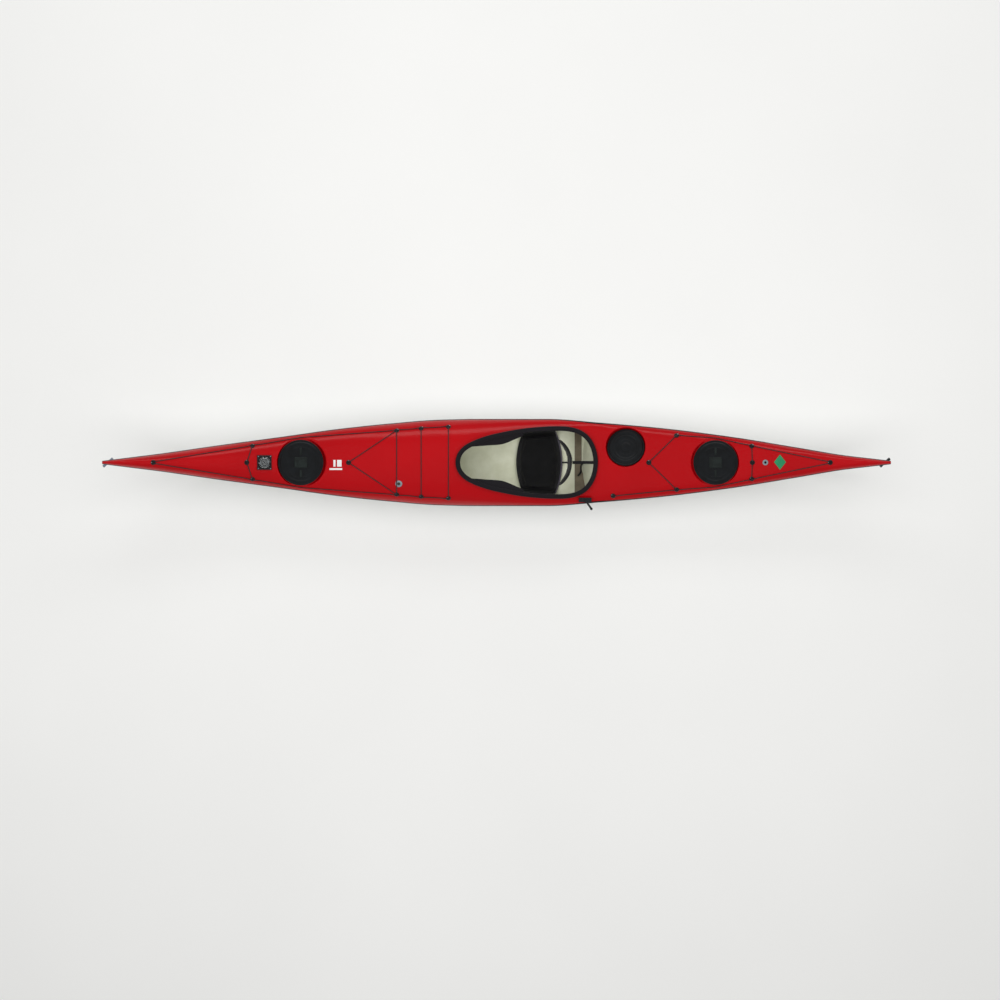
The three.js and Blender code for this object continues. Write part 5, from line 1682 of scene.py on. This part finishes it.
# A line rises over what it passes and dives into the fitting where it ends
def lineHeight(spot, passed, ends):
    height = line["rest"]

    def risen(top, other, reach):
        near = 1 - smoothStep((spot - other).length, *reach)
        return max(height, line["rest"] + (top - line["rest"]) * near)

    for other in passed:
        height = risen(line["over"], other, line["archReach"])
    height = risen(line["overFlange"], pumpSpot, line["flangeReach"])
    for other in ends:
        height = risen(line["over"] - line["endLower"], other, line["endRise"])
        dive = 1 - smoothStep((spot - other).length, line["endReach"], line["endDive"])
        height -= (height - line["end"]) * dive
    return height


# Stops are fittings' names, or a hatch's name and a side; aside shifts an end shared by two lines
def makeLine(name, stops, nodes=(), aside=(0, 0)):
    spots, passed = [], []
    for stop in stops:
        if stop in fittings:
            spots.append(fittings[stop])
            passed.append(fittings[stop])
        else:
            hatch, side = hatches[stop[0]], stop[1]
            spots.append(Vector((hatch["x"], side * (hatch["radius"] + line["besideHatch"]))))
    centres = [spots[0], spots[-1]]
    for index, neighbour, shift in ((0, 1, aside[0]), (-1, -2, aside[1])):
        toward = (spots[neighbour] - spots[index]).normalized()
        spots[index] = spots[index] + toward * line["endReach"] + Vector((0, shift * line["endSide"]))
    path = [
        onDeck(spot.x, spot.y, lineHeight(spot, passed[1:-1], centres)) for spot in linePlan(spots)
    ]
    cord = tubeMesh(name, path, line["radius"], 10)
    finishPiece(cord, "hull", [blackCord], nodes, angle=60)
    return pathLength(path)


lineLengths = {}
for word, side in (("port", -1), ("starboard", 1)):
    lineLengths[f"foreDeckLine_{word}"] = makeLine(f"foreDeckLine_{word}", [
        "bow_end", f"fore_{word}_1", ("bow", side), f"fore_{word}_2", f"fore_{word}_3", f"fore_{word}_4",
    ], ["fore_deck_line"], (side, 0))
    lineLengths[f"aftDeckLine_{word}"] = makeLine(f"aftDeckLine_{word}", [
        f"aft_{word}_2", ("stern", side), f"aft_{word}_3", "stern_end",
    ], ["aft_deck_line"], (0, side))
for name, stops, nodes in (
    ("foreCrossLine", ["fore_port_1", "fore_centre", "fore_starboard_1"], ["fore_deck_line"]),
    ("foreBungeeV", ["fore_port_2", "fore_ridge", "fore_starboard_2"], ["fore_v_bungee"]),
    ("foreBungeeBase", ["fore_port_2", "fore_starboard_2"], ["fore_v_bungee"]),
    ("foreBungeeOne", ["fore_port_3", "fore_starboard_3"], ["fore_bungee_1"]),
    ("foreBungeeTwo", ["fore_port_4", "fore_starboard_4"], ["fore_bungee_2"]),
    ("aftBungee", ["aft_port_1", "aft_port_2", "aft_ridge", "aft_starboard_2"], ["aft_deck_line"]),
    ("aftCrossLine", ["aft_port_3", "aft_centre", "aft_starboard_3"], ["aft_deck_line"]),
):
    lineLengths[name] = makeLine(name, stops, nodes)
print("deck lines made, lengths in metres:", {name: round(size, 3) for name, size in lineLengths.items()})

# Deck compass: a square housing, a turning card and a clear dome in a ring
compass = {
    "x": -0.5885 * boat["halfLength"],
    "side": 0.096,
    "height": 0.008,
    "skirt": 0.020,
    "well": 0.033,
    "floor": 0.001,
    "edge": 0.003,
    "wellEdge": 0.0008,
    "cardRadius": 0.028,
    "cardThickness": 0.004,
    "pin": 0.0025,
    "ring": [
        (0.0364, -0.0010), (0.0410, -0.0010), (0.0410, 0.0020), (0.0402, 0.0034), (0.0384, 0.0040),
        (0.0370, 0.0036), (0.0364, 0.0024),
    ],
    "dome": (0.036, 0.018, 0.002),
    "fit": 0.0003,
    "screwAt": 0.040,
    "screw": [
        (0, -0.0004), (0.0032, -0.0004), (0.0032, 0.0006), (0.0024, 0.0012), (0.0012, 0.0014),
        (0.0010, 0.0006), (0, 0.0006),
    ],
    "band": 0.9,
    "ticks": 36,
    "tickAt": 0.86,
    "tick": (0.0014, 0.0004, 0.0003),
    "longTick": (0.0026, 0.0007, 0.0003),
    "longEvery": 9,
    "needles": ((0, 0.010), (math.pi, 0.006)),
    "needle": (0.004, 0.0018, 0.0004),
}
compassPlace = deckPlace(compass["x"], 0)
compassDark = mouldedPlastic("compassCardBlack", "#101114", "#15161A", 0.35)
compassWhite = mouldedPlastic("compassCardWhite", "#B4B8BB", "#A6ABAE", 0.4)


def raised(profile, height):
    return [(radius, height + z) for radius, z in profile]


def makeCompassBase():
    width, height = compass["side"], compass["height"] + compass["skirt"]
    base = roundedBox(
        "compassBase", (width, width, height), (0, 0, compass["height"] - height / 2), compass["edge"], 4
    )
    cutRound(base, compass["well"], 2 * height, (0, 0, compass["floor"] + height), steps=96)
    bevelled(base, compass["wellEdge"], 2, 60)
    pin = spunPiece("pin", raised(
        [(0, -0.001), (compass["pin"], -0.001), (compass["pin"], 0.0035), (0, 0.0042)], compass["floor"]
    ), 24)
    ring = spunPiece("ring", raised(compass["ring"], compass["height"]))
    for part in (base, pin, ring):
        part.data.materials.append(blackPlastic)
    parts = [pin, ring]
    for side in (1, -1):
        for end in (1, -1):
            screw = spunPiece("screw", raised(compass["screw"], compass["height"]), 24)
            screw.location = (side * compass["screwAt"], end * compass["screwAt"], 0)
            screw.data.materials.append(greyPlastic)
            parts.append(settle(screw))
    joinInto(base, parts)
    settle(base, compassPlace)
    finishPiece(base, "hull", [blackPlastic], ["compass_base"])


# Ticks and pointers are solid marks that stand a little out of the card's top
def cardMark(mark, height, turn, reach=0.0):
    mark.location = onCircle(reach, turn, height)
    mark.rotation_euler = (0, 0, turn)
    mark.data.materials.append(compassWhite)
    return settle(mark)


def makeCard():
    low = compass["floor"] + compass["fit"]
    high = low + compass["cardThickness"]
    radius, bore = compass["cardRadius"], compass["pin"] + compass["fit"]
    card = spunPiece("compassCard", [
        (bore, low), (radius, low), (radius, high - 0.0006), (radius - 0.0006, high),
        (radius * compass["band"], high), (radius * (compass["band"] - 0.01), high - 0.0004),
        (bore, high - 0.0004),
    ])
    card.data.materials.append(compassDark)
    card.data.materials.append(compassWhite)
    for polygon in card.data.polygons:
        reach = math.hypot(polygon.center.x, polygon.center.y)
        if polygon.center.z < high - 0.0005 or reach > radius * compass["band"]:
            polygon.material_index = 1
    marks = []
    for k in range(compass["ticks"]):
        size = compass["tick"] if k % compass["longEvery"] else compass["longTick"]
        tick = roundedBox("tick", size, (0, 0, 0), 0.0001, 1)
        marks.append(cardMark(tick, high, 2 * math.pi * k / compass["ticks"], radius * compass["tickAt"]))
    start, half, thick = compass["needle"]
    for turn, length in compass["needles"]:
        corners = [(start, -half), (start + length, 0), (start, half)]
        needle = newObject(
            "needle", [(x, y, z) for z in (0, thick) for x, y in corners],
            [(0, 1, 2), (5, 4, 3), (0, 3, 4, 1), (1, 4, 5, 2), (2, 5, 3, 0)],
        )
        mergeAndFaceOut(needle)
        marks.append(cardMark(needle, high - 0.0005, turn))
    joinInto(card, marks)
    settle(card, compassPlace)
    finishPiece(card, "compass_card", [compassWhite], ["compass_card"])


def makeDome():
    wide, tall, wall = compass["dome"]
    arc = [math.pi / 2 * k / 20 for k in range(21)]
    outer = [(wide * math.sin(a), tall * math.cos(a)) for a in arc]
    inner = [((wide - wall) * math.sin(a), (tall - wall) * math.cos(a)) for a in reversed(arc)]
    dome = spunPiece("compassDome", raised(outer + inner, compass["height"] + compass["fit"]))
    settle(dome, compassPlace)
    finishPiece(dome, "hull", [clearAcrylic], ["compass_dome"], 50)


makeCompassBase()
makeCard()
makeDome()
print("compass made")

# Through fittings: the pump outlet and the stern socket, moulded flanges on stubs
outlets = {
    "pump_outlet": {"radius": 0.023, "bore": 0.011, "stub": 0.014},
    "stern_socket": {"radius": 0.019, "bore": 0.008, "stub": 0.011},
}
outletDepth = -0.022
for name, size in outlets.items():
    hole = fittingHoles[name]
    radius, bore, stub = size["radius"], size["bore"], size["stub"]
    outlet = spunPiece(f"{name}_fitting", [
        (bore, outletDepth), (stub, outletDepth), (stub, -0.0002), (radius, -0.0012), (radius, 0.0018),
        (radius - 0.0010, 0.0034), (radius - 0.0030, 0.0046), (bore + 0.0030, 0.0050),
        (bore + 0.0008, 0.0046), (bore, 0.0036),
    ])
    settle(outlet, deckPlace(hole["x"], hole["y"] * halfBeamAt(hole["x"]), fitting["lift"]))
    finishPiece(outlet, "hull", [greyPlastic], [name])
print("outlets made")


# Vinyl marks on the deck, 0.2 mm thick, in a generic design
def vinyl(name, colour, lighter):
    return mouldedPlastic(name, colour, lighter, 0.3, grain=0.004)


whiteVinyl = vinyl("whiteVinyl", "#ECEDEC", "#E2E4E3")
greenVinyl = vinyl("greenVinyl", "#1B8254", "#1F8B5B")
vinylSheet = {"thickness": 0.0002, "lift": 0.0003}


# A plain four-sided mark, laid on the deck as a thin closed sheet: the corner that it starts from,
# the ways along its two sides, and the steps on each
def deckMark(name, corner, along, across, steps, material):
    lifts = (vinylSheet["lift"] + vinylSheet["thickness"], vinylSheet["lift"])
    sheets = [
        [
            [
                onDeck(
                    corner[0] + along[0] * s / steps[0] + across[0] * t / steps[1],
                    corner[1] + along[1] * s / steps[0] + across[1] * t / steps[1],
                    lift,
                )
                for t in range(steps[1] + 1)
            ]
            for s in range(steps[0] + 1)
        ]
        for lift in lifts
    ]
    mark = closedSheet(name, *sheets)
    mergeAndFaceOut(mark, 0.000005)
    finishPiece(mark, "hull", [material])


# White marks forward: two plain blocks over one long bar
whiteMarks = {
    "at": (-1.071, -0.049),
    "gap": 0.022,
    "height": 0.044,
    "blocks": ((-0.004, 0.014), (0.020, 0.030)),
    "barStart": -0.030,
    "bar": (0.084, 0.012),
}
markX, markY = whiteMarks["at"]
for number, (left, width) in enumerate(whiteMarks["blocks"]):
    deckMark(
        f"whiteBlock_{number}", (markX + left, markY + whiteMarks["gap"]), (width, 0),
        (0, whiteMarks["height"]), (4, 4), whiteVinyl,
    )
deckMark(
    "whiteLongBar", (markX + whiteMarks["barStart"], markY), (0, whiteMarks["bar"][1]),
    (whiteMarks["bar"][0], 0), (2, 16), whiteVinyl,
)

# Green mark aft: a plain diamond
greenMark = {"at": (1.868, 0.003), "half": (0.0395, 0.050)}
halfLong, halfWide = greenMark["half"]
deckMark(
    "greenDiamond", (greenMark["at"][0] - halfLong, greenMark["at"][1]), (halfLong, -halfWide),
    (halfLong, halfWide), (10, 10), greenVinyl,
)
print("deck marks made")


# The inside floor of the hull: the height at which the inside is this wide
def floorAt(x, y, tries=24):
    low, high = keelAt(x) + boat["skin"], seamAt(x)
    for _ in range(tries):
        middle = (low + high) / 2
        if insideWidth(x, middle) < abs(y):
            low = middle
        else:
            high = middle
    return high


# A darker strip on the floor before the day bulkhead, painted shade in the corner there that widens to port,
# and a black hook at its foot
paintedShade = {
    "front": 0.515,
    "rear": 0.561,
    "portRear": 0.598,
    "sideGap": 0.003,
    "step": (0.12, 0.62),
    "rise": 0.0006,
    "thickness": 0.0012,
    "rows": 8,
    "columns": 72,
}
# Brown laminate that paints the shade before the bulkhead
darkLaminate = laminate("brownLaminate", "#857A66", "#665B4A")
hook = {
    "radius": 0.0062,
    "route": [
        (0.5640, -0.010, 0.030), (0.5585, -0.020, 0.012), (0.5560, -0.036, 0.010), (0.5570, -0.054, 0.010),
        (0.5520, -0.070, 0.010), (0.5440, -0.080, 0.010), (0.5370, -0.086, 0.014),
    ],
}


def makePaintedShade():
    rows = []
    for i in range(paintedShade["rows"] + 1):
        row = []
        for j in range(paintedShade["columns"] + 1):
            share = math.sin(math.pi / 2 * (-1 + 2 * j / paintedShade["columns"]))
            rear = paintedShade["rear"] + (paintedShade["portRear"] - paintedShade["rear"]) * smoothStep(-share, *paintedShade["step"])
            x = paintedShade["front"] + (rear - paintedShade["front"]) * i / paintedShade["rows"]
            y = share * (insideWidth(x, seamAt(x)) - paintedShade["sideGap"])
            row.append(Vector((x, y, floorAt(x, y) + paintedShade["rise"])))
        rows.append(row)
    strip = gridMesh("paintedShadeStrip", rows)
    faceUp(strip)
    walled(strip, paintedShade["thickness"], 1)
    finishPiece(strip, "hull", [darkLaminate])


makePaintedShade()
hookPath = smoothPath([(x, y, floorAt(x, y) + z) for x, y, z in hook["route"]], 5)
finishPiece(
    tubeMesh("bulkheadHook", hookPath, hook["radius"]), "hull", [blackPlastic], angle=60
)
print("hook made")


# CAD pieces that need only rounded edges: a merged and bevelled copy stands for each
roundedNodes = {
    "skeg_case": ("hull", 0.0012),
    "skeg_blade": ("skeg_blade", 0.0016),
    "skeg_control_housing": ("hull", 0.0050),
    "skeg_control_lever": ("skeg_lever", 0.0016),
    "footrest_rail_port": ("hull", 0.0010),
    "footrest_rail_starboard": ("hull", 0.0010),
    "footrest_pedal_port": ("port_pedal", 0.0014),
    "footrest_pedal_starboard": ("starboard_pedal", 0.0014),
    "skeg_cable_tube": ("hull", 0.0),
}
for node, (body, edge) in roundedNodes.items():
    slot, material = "black_plastic", blackPlastic
    if node in ("skeg_case", "skeg_blade"):
        slot, material = "blade_plastic", bladePlastic
    copy = bpy.data.objects.new(f"{node}_rounded", frame["nodes"][node].data.copy())
    bpy.context.scene.collection.objects.link(copy)
    copy.data.materials.clear()
    mergeAndFaceOut(copy, 0.00002)
    if edge:
        bevelled(copy, edge, 2, 40)
    finishPiece(copy, body, [material], [node], 40)
print("rounded pieces made")
